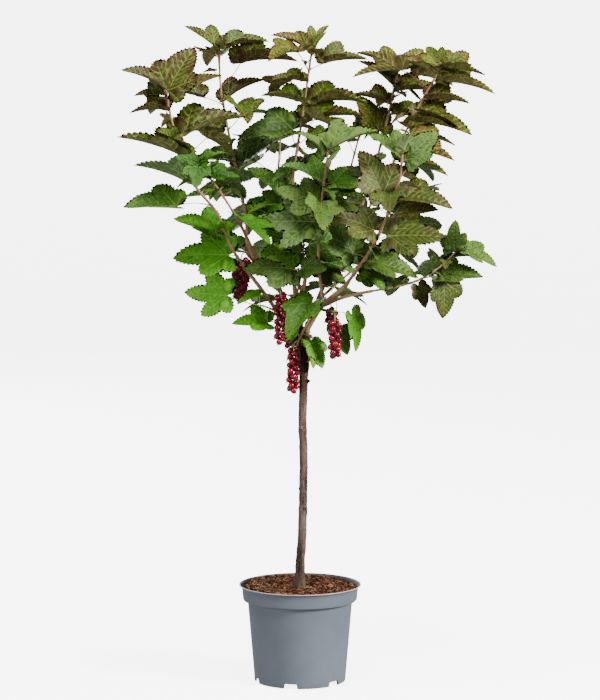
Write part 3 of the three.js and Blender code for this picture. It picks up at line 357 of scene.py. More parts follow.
# Leaf outlines: tips and hollows of the lobes of half a blade, as an angle from the midrib in
# degrees and a distance from the stalk as a share of the blade's length
LOBES = {
    "shallow": ((152, 0.11), (108, 0.40), (80, 0.41), (49, 0.66), (31, 0.59), (0, 1.0)),
    "middle": ((153, 0.10), (107, 0.41), (78, 0.39), (46, 0.71), (26, 0.55), (0, 1.0)),
    "deep": ((155, 0.09), (108, 0.42), (76, 0.37), (44, 0.75), (23, 0.50), (0, 1.0)),
}
TEMPLATES = (("middle", 5), ("shallow", 17), ("deep", 29), ("middle", 43), ("shallow", 61))
TOOTH_STEP = 0.078
TOOTH_HEIGHT = 0.030
FLANK_STEPS = 60
FLANK_BULGES = (0.34, 0.24, 0.30, 0.18, 0.20)
VEIN_WIDTH = 0.0115
SIDE_VEIN_WIDTH = 0.0055
SIDE_VEIN_STEP = 0.11
SIDE_VEIN_ANGLE = 42
NET_STEP = 0.062
BLADE_THICK = 0.34
QUILT = 0.052
SOFT_FOLD = 0.035
NEAR_VEIN = 0.015
PATCH_START = 0.036
RIM_SLOPE = 0.11
STALK_RADII = (1.35, 1.0, 0.82, 0.76, 0.74, 0.72, 0.72, 0.74, 0.80, 0.7, 0.35)
RED_STALKS_ABOVE = 700

# The pieces that the leaves are joined in
LEAF_GROUPS = {
    "foliage_left": ("leaves_far_left", "leaves_left", "leaves_front_left", "spur_far_left",
                     "spur_left", "spur_low_left", "spur_outer_left"),
    "foliage_middle": ("leaves_leader", "leaves_inner", "spur_front", "spur_middle"),
    "foliage_right": ("leaves_right", "leaves_low_right", "leaves_back_right", "leaves_upright_right",
                      "spur_right"),
    "foliage_back": ("leaves_back", "leaves_back_left", "leaves_low_back", "spur_back_left",
                     "spur_back_right"),
}

# Bark: the ridges of its relief, each with its height, its scales across and along the stem and
# its shift, and its colours by streak and by height in metres
BARK_VOXEL = 1.0
SKIN_LOSS = 0.85
BARK_RIDGES = ((0.42, 0.42, 0.05, 0), (0.30, 0.16, 0.13, 9), (0.16, 1.1, 0.5, 40))
BARK_STOPS = ((0.36, (0.016, 0.009, 0.007)), (0.45, (0.055, 0.037, 0.028)), (0.54, (0.110, 0.086, 0.070)),
              (0.66, (0.060, 0.038, 0.027)))
HEIGHT_STOPS = ((0.15, (0.62, 0.56, 0.52)), (0.25, (0.92, 0.90, 0.88)), (0.34, (1, 1, 1)),
                (0.44, (0.98, 0.90, 0.84)), (0.49, (0.80, 0.62, 0.54)), (0.51, (0.42, 0.34, 0.31)))
# Shoot colours; on the boughs the second, lighter one is painted light on the right side, where the key
# lamp falls
TWIG_COLOURS = ((0.23, 0.138, 0.068), (0.30, 0.190, 0.100), (0.17, 0.094, 0.050))

# Knobs on the trunk and its head: how far along the trunk (height), bearing, out from the
# centre, and the knob's half sizes
KNOBS = [
    (206, 250, 3.4, (4.0, 4.0, 2.4)), (268, 290, 4.2, (3.4, 3.4, 2.6)), (392, 265, 4.4, (3.4, 3.4, 2.8)),
    (392, 80, 3.6, (3.6, 3.6, 2.6)), (465, 320, 5.0, (3.0, 3.0, 2.4)), (430, 170, 4.2, (2.6, 2.6, 2.0)),
    (496, 200, 4.6, (5.0, 5.0, 4.6)), (508, 320, 5.4, (5.4, 5.4, 5.2)), (516, 230, 5.8, (6.0, 5.4, 5.6)),
    (520, 110, 5.4, (6.2, 5.8, 6.2)), (526, 20, 5.6, (5.6, 5.2, 5.4)), (532, 265, 4.6, (5.8, 5.0, 4.6)),
    (536, 170, 4.0, (5.4, 5.0, 4.6)), (500, 60, 4.6, (4.6, 4.6, 4.8)), (512, 170, 6.0, (4.8, 4.4, 4.0)),
    (236, 20, 5.6, (2.4, 2.4, 1.8)), (302, 190, 5.4, (2.6, 2.6, 1.8)), (336, 350, 5.2, (2.4, 2.4, 2.0)),
    (368, 175, 5.0, (2.4, 2.4, 1.8)), (446, 10, 5.0, (2.6, 2.6, 2.0)), (180, 195, 6.0, (2.6, 2.6, 1.8)),
]

# Cut stubs of old shoots: height, bearing, lift above level, length beyond the bark and radius
STUBS = [
    (466, 330, 30, 5, 2.6), (522, 285, 20, 9, 3.4), (530, 335, 34, 10, 3.0), (518, 205, 24, 9, 3.2),
    (534, 240, 48, 9, 2.8), (508, 80, 30, 7, 3.0), (500, 300, 10, 5, 2.6), (536, 60, 50, 9, 3.0),
    (524, 150, 26, 9, 3.2), (270, 300, 20, 3, 2.2), (394, 250, 25, 3.4, 2.2),
]

# Stage, and lights as name, place in metres, size in metres, power and colour
STAGE_RADIUS = 7000
STAGE_CURVE = 2000
STAGE_WALL = 5000
STAGE_GLOW = 5.0
WORLD_STRENGTH = 0.48
LIGHTS_AIM = (0, 0, 0.6)
LIGHTS = (
    ("key", (3.5, -1.9, 2.0), 1.2, 540, (1, 0.985, 0.96)), ("top", (-0.3, -1.0, 3.3), 1.6, 145, (1, 1, 1)),
    ("fill", (-2.6, -3.0, 1.0), 1.8, 96, (0.98, 0.99, 1)), ("back", (-1.6, 3.6, 2.2), 2.0, 140, (1, 1, 1)))


def dice(seed):
    """Seeded random numbers between 0 and 1."""
    state = seed

    def roll():
        nonlocal state
        state = state * 48271 % 2147483647
        return state / 2147483647

    return roll


def unit(a):
    a = np.asarray(a, float)
    return a / np.linalg.norm(a)


def way_to(bearing, lift=0):
    """The direction of a compass bearing and a lift above level."""
    b, l = rad(bearing), rad(lift)
    return np.array([math.cos(b) * math.cos(l), math.sin(b) * math.cos(l), math.sin(l)])


def noise_at(x, y, z):
    return noise.noise(Vector((x, y, z)))


def run_along(line):
    """The length run so far at each point of a line."""
    return np.concatenate(([0], np.cumsum(np.linalg.norm(np.diff(line, axis=0), axis=1))))


# Limbs


class Way:
    """A smooth line through a few points."""

    def __init__(self, points):
        p = np.array(points, float)
        p = np.vstack([p[0] * 2 - p[1], p, p[-1] * 2 - p[-2]])
        line = [p[1]]
        for a, b, c, d in zip(p, p[1:], p[2:], p[3:]):
            for k in range(1, SPAN_STEPS + 1):
                t = k / SPAN_STEPS
                line.append(0.5 * (2 * b + (c - a) * t + (2 * a - 5 * b + 4 * c - d) * t * t
                                   + (3 * b - a - 3 * c + d) * t * t * t))
        self.line = np.array(line)
        self.run = run_along(self.line)
        self.length = self.run[-1]

    def at(self, share):
        want = share * self.length
        i = int(np.clip(np.searchsorted(self.run, want), 1, len(self.run) - 1))
        k = (want - self.run[i - 1]) / (self.run[i] - self.run[i - 1])
        return self.line[i - 1] * (1 - k) + self.line[i] * k

    def heading(self, share):
        return unit(self.at(min(1, share + 0.02)) - self.at(max(0, share - 0.02)))


def trunk_radius(z):
    return np.interp(z, *zip(*TRUNK_RADII))


class Limb:
    """A limb from its row: its way, its radius along the way, and the balls that stand for it."""

    def __init__(self, row):
        self.name, self.row = row["name"], row
        self.way = Way(row["path"])
        count = math.ceil(self.way.length / BALL_STEP)
        shares = [i / count for i in range(count + 1)]
        self.balls = np.array([[*self.way.at(s), self.radius(s)] for s in shares])

    def radius(self, share):
        if self.row is TRUNK:
            return trunk_radius(self.way.at(share)[2])
        base, tip = self.row["base"], self.row["tip"]
        return (base + (tip - base) * share ** TAPER) / 2


# Room for leaves

# The coarse shape of a leaf: its rim, two places on its midrib and the triangles between them
HALF_OUTLINE = ((-0.10, 0.21), (0.09, 0.43), (0.46, 0.50), (0.72, 0.26))
OUTLINE = ((0, 0), *HALF_OUTLINE, (1, 0), *((a, -b) for a, b in reversed(HALF_OUTLINE)))
MIDRIB = (0.2, 0.56)
HALF_FACES = ((0, 1, 10), (1, 2, 10), (2, 11, 10), (2, 3, 11), (3, 4, 11), (4, 5, 11))
MIRRORED = tuple(tuple(i if i > 9 else (10 - i) % 10 for i in face) for face in HALF_FACES)


def blade_frame(bearing, pitch, roll):
    """Directions along a blade, to its left and up from it."""
    b, p, r = rad(bearing), rad(pitch), rad(roll)
    flat = np.array([-math.sin(b), math.cos(b), 0])
    rise = np.array([-math.sin(p) * math.cos(b), -math.sin(p) * math.sin(b), math.cos(p)])
    left = flat * math.cos(r) + rise * math.sin(r)
    return way_to(bearing, pitch), left, rise * math.cos(r) - flat * math.sin(r)


def on_blade(leaf, along, out):
    ahead, left, up = leaf["frame"]
    wide = out * math.cos(rad(leaf["fold"]))
    high = abs(out) * math.sin(rad(leaf["fold"])) - leaf["droop"] * along * abs(along)
    return leaf["joint"] + leaf["length"] * (ahead * along + left * wide + up * high)


def on_stalk(leaf, t):
    a = leaf["root"] * (1 - t) + leaf["knee"] * t
    b = leaf["knee"] * (1 - t) + leaf["joint"] * t
    return a * (1 - t) + b * t


def shape_of(leaf):
    """Triangles of a leaf's coarse shape, and the points and edges to test against another's."""
    rim = [on_blade(leaf, *place) for place in OUTLINE]
    mid = [on_blade(leaf, along, 0) for along in MIDRIB]
    edges = [(rim[i], rim[(i + 1) % 10]) for i in range(10)]
    stalk = np.array([on_stalk(leaf, i / 10) for i in range(2, 11)])
    points = np.array(rim + mid)
    every = np.vstack([points, stalk])
    shape = dict(tris=points[np.array(HALF_FACES + MIRRORED)], stalk=stalk, centre=on_blade(leaf, 0.42, 0),
                 reach=leaf["length"] * 0.75, low=every.min(0), high=every.max(0))
    rib = [mid[1], (mid[0] + mid[1]) / 2, (mid[1] + rim[5]) / 2]
    for part, sides, ribs, more in (
            ("outer", edges[2:8], [(mid[0], mid[1]), (mid[1], rim[5])], rib),
            ("inner", edges[8:] + edges[:2], [(rim[0], mid[0])], mid[:1])):
        samples = [a + (b - a) * k / 3 for a, b in sides for k in range(3)]
        shape[part + "_points"] = np.array(samples + more)
        shape[part + "_edges"] = np.array(sides + ribs)
    return shape


def edge_distances(p, a, b):
    ab = b - a
    t = np.clip(((p[:, None] - a) * ab).sum(-1) / (ab * ab).sum(-1), 0, 1)
    return np.linalg.norm(p[:, None] - (a + ab * t[..., None]), axis=-1)


def face_distances(p, tris):
    """The distance of each point from each triangle."""
    a, b, c = tris[:, 0], tris[:, 1], tris[:, 2]
    ab, ac = b - a, c - a
    n = np.cross(ab, ac)
    nn = (n * n).sum(-1)
    ap = p[:, None] - a
    v = (np.cross(ap, ac) * n).sum(-1) / nn
    w = (np.cross(ab, ap) * n).sum(-1) / nn
    flat = np.abs((ap * n).sum(-1)) / np.sqrt(nn)
    rim = np.minimum.reduce([edge_distances(p, *side) for side in ((a, b), (b, c), (c, a))])
    return np.where((v >= 0) & (w >= 0) & (v + w <= 1), flat, rim)


def edges_meet(edges, tris):
    """Whether any edge runs through any triangle."""
    a, b, c = tris[:, 0], tris[:, 1], tris[:, 2]
    n = np.cross(b - a, c - a)
    d0 = ((edges[:, None, 0] - a) * n).sum(-1)
    d1 = ((edges[:, None, 1] - a) * n).sum(-1)
    through = d0 * d1 <= 0
    k = d0 / np.where(d0 == d1, 1, d0 - d1)
    p = edges[:, None, 0] + (edges[:, 1] - edges[:, 0])[:, None] * k[..., None]
    for u, v in ((a, b), (b, c), (c, a)):
        through &= (np.cross(v - u, p - u) * n).sum(-1) >= 0
    return bool(through.any())


def leaves_meet(p, q, own_mass):
    room = OWN_ROOM if own_mass else ROOM
    if (p["low"] - STALK_ROOM > q["high"]).any() or (q["low"] - STALK_ROOM > p["high"]).any():
        return False
    if math.dist(p["centre"], q["centre"]) >= p["reach"] + q["reach"] + STALK_SPAN:
        return False
    for x, y in ((p, q), (q, p)):
        near = np.linalg.norm(y["tris"][:, 0] - x["centre"], axis=1) < x["reach"] + BLADE_SPAN
        tris = y["tris"][near]
        if not len(tris):
            continue
        for part in ("outer",) if own_mass else ("outer", "inner"):
            if (face_distances(x[part + "_points"], tris) < room).any():
                return True
            if edges_meet(x[part + "_edges"], tris):
                return True
        if not own_mass and (face_distances(x["stalk"], tris) < room + STALK_RADIUS).any():
            return True
    gaps = np.linalg.norm(p["stalk"][:, None] - q["stalk"], axis=-1)
    return bool(not own_mass and (gaps < STALK_ROOM).any())


def leaf_meets_balls(leaf, balls, own):
    s = leaf["shape"]
    room = OWN_ROOM if own else ROOM
    keep = np.linalg.norm(balls[:, :3] - s["centre"], axis=1) < s["reach"] + BLADE_SPAN
    if own:
        keep &= np.linalg.norm(balls[:, :3] - leaf["root"], axis=1) >= OWN_REACH
    if not keep.any():
        return False
    p, r = balls[keep, :3], balls[keep, 3]
    if (face_distances(p, s["tris"]) < (r + room)[:, None]).any():
        return True
    gaps = np.linalg.norm(p[:, None] - s["stalk"], axis=-1)
    return bool(not own and (gaps < (r + STALK_RADIUS + room)[:, None]).any())


# Growing the plant


def make_leaf(limb, share, bearing, roll, size, at_tip):
    root = limb.way.at(share)
    high = min(1, max(0, (root[2] - CROWN_FOOT) / CROWN_DEPTH))

    def angle(rule):
        value = rule["low"] + rule["rise"] * high + rule["vary"] * (roll() - 0.5)
        return value + (rule["at_tip"] if at_tip else 0)

    length = size * (0.88 + 0.26 * roll())
    stalk = length * (0.34 + 0.12 * roll() if at_tip else 0.56 + 0.22 * roll())
    lift, pitch, fold = angle(LIFT), angle(PITCH), angle(FOLD)
    droop = 0.14 + 0.16 * roll()
    tilt, swing = angle(TILT), angle(SWING)
    return dict(root=root, stem=limb.way.heading(share), bearing=bearing, length=length, stalk=stalk,
                lift=lift, pitch=pitch, fold=fold, droop=droop, tilt=tilt, swing=swing, share=share)


def held_leaf(limb, row, roll):
    share, bearing, length, stalk, lift, pitch, face = row
    leaf = make_leaf(limb, share, bearing, roll, length, False)
    tilt = face if math.cos(rad(bearing)) > 0 else -face
    fold = leaf["fold"] * (0.4 if face > 45 or pitch < -40 else 1)
    leaf.update(length=length, stalk=stalk, lift=lift, pitch=pitch, tilt=tilt, fold=fold, swing=0)
    return leaf


def ruled_leaves(mass):
    """The leaves between the held ones, in even steps along the limb, smaller at a free tip."""
    row = mass["limb"].row
    turns = row.get("turns", ())
    start = row["bare"] + 0.05 if "bare" in row else 0.4
    for i, bearing in enumerate(turns):
        roll = dice(mass["seed"] * TURN_SEED[0] + i * TURN_SEED[1])
        share = start + (0.97 - start) * ((i + 0.5) / len(turns)) ** 0.9
        at_tip = "held" not in row and i >= len(turns) - 3
        size = row["size"] * (SMALL_AT_TIP if at_tip else 1)
        yield mass, make_leaf(mass["limb"], share, bearing, roll, size, at_tip)


def fine_leaves(mass):
    """Young leaves at the tip of a shoot and in the axils along it."""
    start = mass["limb"].row["bare"] + 0.08
    roll = dice(mass["seed"] * FINE_SEED[0] + FINE_SEED[1])
    spin = 360 * roll()
    for i in range(TIP_LEAVES + AXIL_LEAVES):
        at_tip = i < TIP_LEAVES
        low, high = TIP_SIZES if at_tip else AXIL_SIZES
        step = (i - TIP_LEAVES + roll()) / AXIL_LEAVES
        share = 1 - 0.012 * i if at_tip else start + (0.95 - start) * step
        size = low + (high - low) * roll()
        leaf = make_leaf(mass["limb"], share, spin + i * GOLDEN_ANGLE, roll, size, at_tip)
        if at_tip:
            leaf.update(lift=70 - 8 * i, pitch=62 - 14 * i, stalk=leaf["stalk"] * 0.6)
        yield mass, leaf


def set_leaf(plain, turn, shrink):
    """A leaf turned about its root and shrunk, with its place and its coarse shape."""
    leaf = dict(plain, length=plain["length"] * shrink, stalk=plain["stalk"] * (0.5 + 0.5 * shrink))
    bearing = plain["bearing"] + turn
    leaf["joint"] = leaf["root"] + leaf["stalk"] * way_to(bearing, plain["lift"])
    leaf["knee"] = leaf["root"] + unit(plain["stem"] * 0.6 + way_to(bearing) * 0.8) * leaf["stalk"] * 0.5
    leaf["frame"] = blade_frame(bearing + plain["swing"], plain["pitch"], plain["tilt"])
    leaf["shape"] = shape_of(leaf)
    return leaf


def make_truss(limb, row, roll):
    """A hanging truss: its stem, the places of its berries, and the balls that stand for it."""
    share, bearing, length, wide = (*row, 1)[:4]
    out = way_to(bearing)
    root = limb.way.at(share)
    top = root + out * TRUSS_OUT - (0, 0, TRUSS_DROP)
    low = top + out * TRUSS_SWAY - (0, 0, length)
    spin = 360 * roll()
    step = BERRY_STEP / wide ** 1.5
    count = int((length - 2 * MODEL_BERRY) / step) + 1
    berries = []
    for i in range(count):
        reach = BERRY_REACH * min(1, 0.62 + 0.12 * (count - 1 - i)) * min(1, 0.8 + 0.1 * i)
        reach *= wide * min(1, 0.5 + 0.5 * (count - i) / count) if wide > 1 else 1
        depth = (BERRY_RADIUS + 2 + i * step) / length
        foot = top * (1 - depth) + low * depth
        side = way_to(spin + i * GOLDEN_ANGLE)
        berries.append((foot, foot + side * reach, side))
    steps = math.ceil(length / 5)
    balls = [[*(top + (low - top) * i / steps), TRUSS_ROOM] for i in range(1, steps + 1)]
    return dict(way=Way([root, top, (top + low) / 2, low]), berries=berries, balls=np.array(balls))


def grow_plant():
    """Every limb, then all the fruit, then leaf by leaf with room kept round each."""
    trunk = Limb(TRUNK)
    spurs, shoots = [[Limb(row) for row in rows] for rows in (SPURS, SHOOTS)]
    limbs = [trunk, *shoots, *spurs]
    masses, wanted, kept = {}, [], []
    for limb in spurs + shoots:
        name = f"{'spur' if limb in spurs else 'leaves'}_{limb.name}"
        seed = SEED + MASS_STEP * (len(masses) + 1)
        roll = dice(seed)
        trusses = [make_truss(limb, row, roll) for row in limb.row.get("trusses", ())]
        masses[name] = dict(limb=limb, trusses=trusses, leaves=[], seed=seed)
    for mass in masses.values():
        for i, row in enumerate(mass["limb"].row.get("held", ())):
            roll = dice(mass["seed"] * HELD_SEED[0] + i * HELD_SEED[1])
            wanted.append((mass, held_leaf(mass["limb"], row, roll)))
    for mass in masses.values():
        wanted += ruled_leaves(mass)
    for mass in masses.values():
        if mass["limb"] in shoots:
            wanted += fine_leaves(mass)
    for i, (name, *row) in enumerate(HEAD_LEAVES):
        leaf = held_leaf(trunk, row, dice(HEAD_SEED + i * HELD_SEED[1]))
        wanted.append((masses[name], dict(leaf, sprout=True)))
    fruit = [truss["balls"] for mass in masses.values() for truss in mass["trusses"]]
    for mass, plain in wanted:
        for tries in range(TURNS * SIZES):
            turn = (1 if tries % 2 else -1) * TURN_STEP * math.ceil((tries % TURNS) / 2)
            leaf = set_leaf(plain, turn, 1 - SHRINK * (tries // TURNS))
            if any(leaf_meets_balls(leaf, limb.balls, "sprout" in leaf or limb is mass["limb"])
                   for limb in limbs):
                continue
            if any(leaf_meets_balls(leaf, balls, False) for balls in fruit):
                continue
            if any(leaves_meet(leaf["shape"], other["shape"], owner is mass) for owner, other in kept):
                continue
            mass["leaves"].append(leaf)
            kept.append((mass, leaf))
            break
    return dict(trunk=trunk, shoots=shoots, masses=masses)


# Leaf templates


def outward(way, place):
    """The flat direction square to a way that points away from the stalk's end."""
    side = np.array([way[1], -way[0]])
    return -side if side @ place < 0 else side


def bulging(a, b, bulge):
    """Points of a curve from a to b that swells outward from the straight line."""
    middle = (a + b) / 2
    control = middle + outward(b - a, middle) * bulge
    return np.array([(a * (1 - t) + control * t) * (1 - t) + (control * (1 - t) + b * t) * t
                     for t in np.linspace(0, 1, 13)])


def toothed(line, toward_end, roll):
    """A flank with saw teeth that point along it, from a hollow to a lobe's tip or back."""
    run = run_along(line)
    want = np.linspace(0, run[-1], FLANK_STEPS + 1)
    points = np.column_stack([np.interp(want, run, line[:, k]) for k in range(2)])
    count = max(2, round(run[-1] / TOOTH_STEP))
    out = []
    for i in range(count):
        height = TOOTH_HEIGHT * (0.7 + 0.6 * roll()) * (0.3 if i == count - 1 else 1)
        for share, rise in ((0, 0), (0.45, 0.66), (0.84, 1)):
            t = (i + share) / count
            at = (t if toward_end else 1 - t) * FLANK_STEPS
            j = min(int(at), FLANK_STEPS - 1)
            along = points[j + 1] - points[j]
            here = points[j] + along * (at - j)
            out.append(here + unit(outward(along, here)) * height * rise)
    return out if toward_end else out[::-1]


def half_blade(lobes, roll):
    """Half an outline from the stalk round to the tip, on the side where y is positive."""
    *others, (angle, reach) = lobes
    keys = [way_to(a)[:2] * (r * (0.97 + 0.06 * roll())) for a, r in others] + [way_to(angle)[:2] * reach]
    points = [np.zeros(2), keys[0]]
    for i, (a, b, bulge) in enumerate(zip(keys, keys[1:], FLANK_BULGES)):
        points += toothed(bulging(a, b, bulge), i % 2 == 0, roll)
    return points + keys[-1:], keys


def inside_loop(points, loop):
    """Which points lie inside a closed row of points."""
    a, b = loop, np.roll(loop, -1, axis=0)
    over = (a[:, 1] > points[:, None, 1]) != (b[:, 1] > points[:, None, 1])
    rise = np.where(b[:, 1] == a[:, 1], 1, b[:, 1] - a[:, 1])
    cut = a[:, 0] + (points[:, None, 1] - a[:, 1]) / rise * (b[:, 0] - a[:, 0])
    return (over & (points[:, None, 0] < cut)).sum(1) % 2 == 1


def ribbon(a, b, wide, narrow, bend):
    """A tapering strip from a to b that bends a little to one side."""
    side = unit([(b - a)[1], -(b - a)[0]])
    left, right = [], []
    for t in (0, 0.35, 0.7, 1):
        centre = a + (b - a) * t + side * bend * math.sin(math.pi * t)
        width = wide + (narrow - wide) * t
        left.append(centre + side * width / 2)
        right.append(centre - side * width / 2)
    return left + right[::-1]


def reach_inside(outline, start, way):
    """How far a ray runs from a point inside the outline before it leaves."""
    e, d = np.roll(outline, -1, axis=0) - outline, outline - start
    cross = way[0] * e[:, 1] - way[1] * e[:, 0]
    level = np.abs(cross) < 1e-9
    cross[level] = 1
    t = (d[:, 0] * e[:, 1] - d[:, 1] * e[:, 0]) / cross
    u = (d[:, 0] * way[1] - d[:, 1] * way[0]) / cross
    return t[~level & (t > 1e-6) & (u >= 0) & (u <= 1)].min(initial=10)


def veins_of(outline, tips):
    """Strips for the midrib, the lobes' ribs and the side veins that leave them."""
    main = [(np.array([0.93, 0.0]), 1.3)]
    main += [(tip * (0.9, 0.9 * side), 1.0) for tip in tips for side in (1, -1)]
    strips = [ribbon(np.zeros(2), end, VEIN_WIDTH * k, VEIN_WIDTH * 0.3, 0) for end, k in main]
    for end, k in main:
        length = np.linalg.norm(end)
        base = math.atan2(end[1], end[0])
        count = max(2, round(length / SIDE_VEIN_STEP))
        for i in range(1, count):
            for side in (1, -1):
                at = end * ((i + (0.12 if side > 0 else -0.14)) / count)
                turn = base + side * rad(SIDE_VEIN_ANGLE)
                way = np.array([math.cos(turn), math.sin(turn)])
                span = min(0.34 * length ** 0.5, reach_inside(outline, at, way) * 0.9)
                if span >= 0.06 and (i > 1 or length >= 0.9):
                    strips.append(ribbon(at, at + way * span, SIDE_VEIN_WIDTH, 0.002, -side * span * 0.07))
    return strips


def distance_to_lines(points, lines):
    best = np.full(len(points), 9.0)
    for a, b in lines:
        ab = b - a
        t = np.clip(((points - a) @ ab) / (ab @ ab), 0, 1)
        best = np.minimum(best, np.linalg.norm(points - (a + t[:, None] * ab), axis=1))
    return best


def net_points(outline, rim, lines, roll):
    """Places in a staggered grid, off the rim and the veins, each a little out of line."""
    rows = []
    for j, x in enumerate(np.arange(-0.3, 1.0, NET_STEP * 0.87)):
        for y in np.arange(-0.7 + (j % 2) * NET_STEP / 2, 0.7, NET_STEP):
            rows.append((x + NET_STEP * 0.3 * (roll() - 0.5), y + NET_STEP * 0.3 * (roll() - 0.5)))
    p = np.array(rows)
    p = p[inside_loop(p, outline)]
    return p[(distance_to_lines(p, rim) > NET_STEP * 0.42) & (distance_to_lines(p, lines) > NET_STEP * 0.3)]


class Template:
    """A flat lobed blade of length 1: its points, triangles, veins and the swell between them."""

    def __init__(self, lobes, seed):
        roll = dice(seed)
        right, keys = half_blade(lobes, roll)
        left = [p * (1, -1) for p in half_blade(lobes, roll)[0]]
        loop = right + left[:0:-1]
        outline = np.array([p for i, p in enumerate(loop) if np.linalg.norm(p - loop[i - 1]) > 1e-4])
        points, lines = list(outline), []
        loops = [list(range(len(outline)))]
        for strip in veins_of(outline, [keys[3], keys[1]]):
            loops.append(list(range(len(points), len(points) + len(strip))))
            points += strip
            middles = [(a + b) / 2 for a, b in zip(strip[:len(strip) // 2], strip[::-1])]
            lines += zip(middles, middles[1:])
        rim = list(zip(outline, np.roll(outline, -1, axis=0)))
        points += list(net_points(outline, rim, lines, roll))
        made = delaunay_2d_cdt([Vector(p) for p in points], [], loops, 1, 1e-5, True)
        self.flat, faces = np.array([list(p) for p in made[0]]), np.array(made[2])
        inside = inside_loop(self.flat[faces].mean(1), outline)
        self.faces = faces[inside]
        self.vein = np.array([bool(set(o) - {0}) for o, keep in zip(made[5], inside) if keep])
        from_rim = distance_to_lines(self.flat, rim)
        self.rim = from_rim < 1e-4
        self.two_sided = ~self.rim[self.faces].all(1)
        swell = np.clip(distance_to_lines(self.flat, lines) / 0.055, 0, 1) ** 0.8
        self.puff = QUILT * swell * np.clip(from_rim / RIM_SLOPE, 0, 1)
        self.body = np.clip(from_rim / 0.02, 0, 1)
        self.middle = self.flat[self.faces].mean(1)
        self.face_from_vein = distance_to_lines(self.middle, lines)
        self.on_vein = np.zeros(len(self.flat), bool)
        self.on_vein[self.faces[self.vein].ravel()] = True
        self.on_vein &= ~self.rim
        edges = np.sort(self.faces[:, [0, 1, 1, 2, 2, 0]].reshape(-1, 2), axis=1)
        edges, uses = np.unique(edges, axis=0, return_counts=True)
        self.rim_edges = edges[uses == 1]


def leaf_mesh(leaf, template, roll):
    """Points, triangles, the kind of each triangle and the rim's edges of one leaf in its place."""
    ahead, left, up = leaf["frame"]
    x, y = template.flat.T
    fold = rad(leaf["fold"])
    soft = np.sqrt(y * y + SOFT_FOLD ** 2) - SOFT_FOLD
    curl = 0.25 * (roll() - 0.3)
    wave, phase = 0.018 + 0.03 * roll(), 6.28 * roll()
    twist = 0.22 * (roll() - 0.5)
    high = soft * math.sin(fold) - leaf["droop"] * x * np.abs(x)
    high += -curl * y * y + twist * x * y
    high += wave * np.hypot(x, y) ** 2 * np.sin(5 * np.arctan2(y, x) + phase) + template.puff
    wide = y * math.cos(fold)
    base = leaf["joint"] + leaf["length"] * (x[:, None] * ahead + wide[:, None] * left + high[:, None] * up)
    half = up * BLADE_THICK / 2 * template.body[:, None]
    veins = template.on_vein[:, None]
    inner = ~template.rim
    top = np.where(inner[:, None], base + half - up * np.where(veins, 0.12, 0), base)
    under = base - half - up * np.where(veins, 0.3, 0)
    index = np.arange(len(base))
    index[inner] = len(base) + np.arange(inner.sum())
    # A triangle with all its corners on the rim is made once, as its under side would be the same one
    faces = np.vstack([template.faces, index[template.faces][template.two_sided, ::-1]])
    patchy, dx, dy = roll(), 9 * roll(), 9 * roll()
    mottle = np.array([noise_at(4 * u + dx, 4 * v + dy, 0) for u, v in template.middle])
    near = template.face_from_vein < NEAR_VEIN
    outer = template.face_from_vein * (0.35 + np.hypot(*template.middle.T))
    patch = outer > PATCH_START - 0.020 * patchy - 0.022 * mottle
    above = np.where(template.vein, VEIN, np.where(near, NEAR, np.where(patch, PATCH, BLADE)))
    below = np.where(template.vein, UNDER_VEIN, np.where(near, UNDER, UNDER_PANEL))
    kinds = np.concatenate([above, below[template.two_sided]])
    return np.vstack([top, under[inner]]), faces, kinds, template.rim_edges


# Skins over rows of points


def ring(centre, side, over, radius, sides, turn=0):
    """Points in a circle round a centre, in the plane of two directions."""
    turns = (2 * math.pi * np.arange(sides) / sides + turn)[:, None]
    return centre + radius * (np.cos(turns) * side + np.sin(turns) * over)


def across(axis, k):
    """Two directions square to an axis, the first also square to X, Y or Z, which k numbers."""
    guide = np.eye(3)[k if abs(axis[k]) < 0.9 else 0]
    side = unit(np.cross(guide, axis))
    return side, np.cross(axis, side)


def skin(rows):
    """Points and faces of a closed skin over rows of points, where a row of one point is an end."""
    starts = np.cumsum([0] + [len(row) for row in rows]).tolist()
    faces = []
    for low, high, i, j in zip(rows, rows[1:], starts, starts[1:]):
        sides = max(len(low), len(high))
        for k in range(sides):
            n = (k + 1) % sides
            face = (i + k % len(low), i + n % len(low), j + n % len(high), j + k % len(high))
            faces.append(tuple(dict.fromkeys(face)))
    return np.vstack(rows), faces


def split(points, faces):
    """The same skin with each face split into triangles."""
    return points, np.array([(f[0], *pair) for f in faces for pair in zip(f[1:], f[2:])])


def tube_mesh(centres, radii, sides):
    """A tube through a row of centres, with rounded-off ends."""
    centres = np.asarray(centres, float)
    rows = [centres[:1]]
    for i, centre in enumerate(centres):
        ahead = unit(centres[min(i + 1, len(centres) - 1)] - centres[max(i - 1, 0)])
        side = unit(side - ahead * (side @ ahead)) if i else across(ahead, 1)[0]
        rows.append(ring(centre, side, np.cross(ahead, side), radii[i], sides))
    tip = centres[-1] + unit(centres[-1] - centres[-2]) * radii[-1] * 0.6
    return split(*skin([*rows, [tip]]))


def lathe(profile, sides):
    """A closed solid turned about the upright axis from a profile that starts and ends on it."""
    x, y, z = np.eye(3)
    return skin([ring(z * height, x, y, radius, sides if radius else 1) for radius, height in profile])


def arc(centre, radius, start, end, steps):
    ways = [way_to(start + (end - start) * i / steps) for i in range(steps + 1)]
    return [(centre[0] + radius * way[0], centre[1] + radius * way[1]) for way in ways]


# Meshes and pieces


def new_object(name, data):
    made = bpy.data.objects.new(name, data)
    bpy.context.scene.collection.objects.link(made)
    return made


def new_mesh(name, points, faces):
    """A mesh in metres from points in millimetres."""
    mesh = bpy.data.meshes.new(name)
    mesh.from_pydata((np.asarray(points) * MM).tolist(), [], faces)
    return mesh


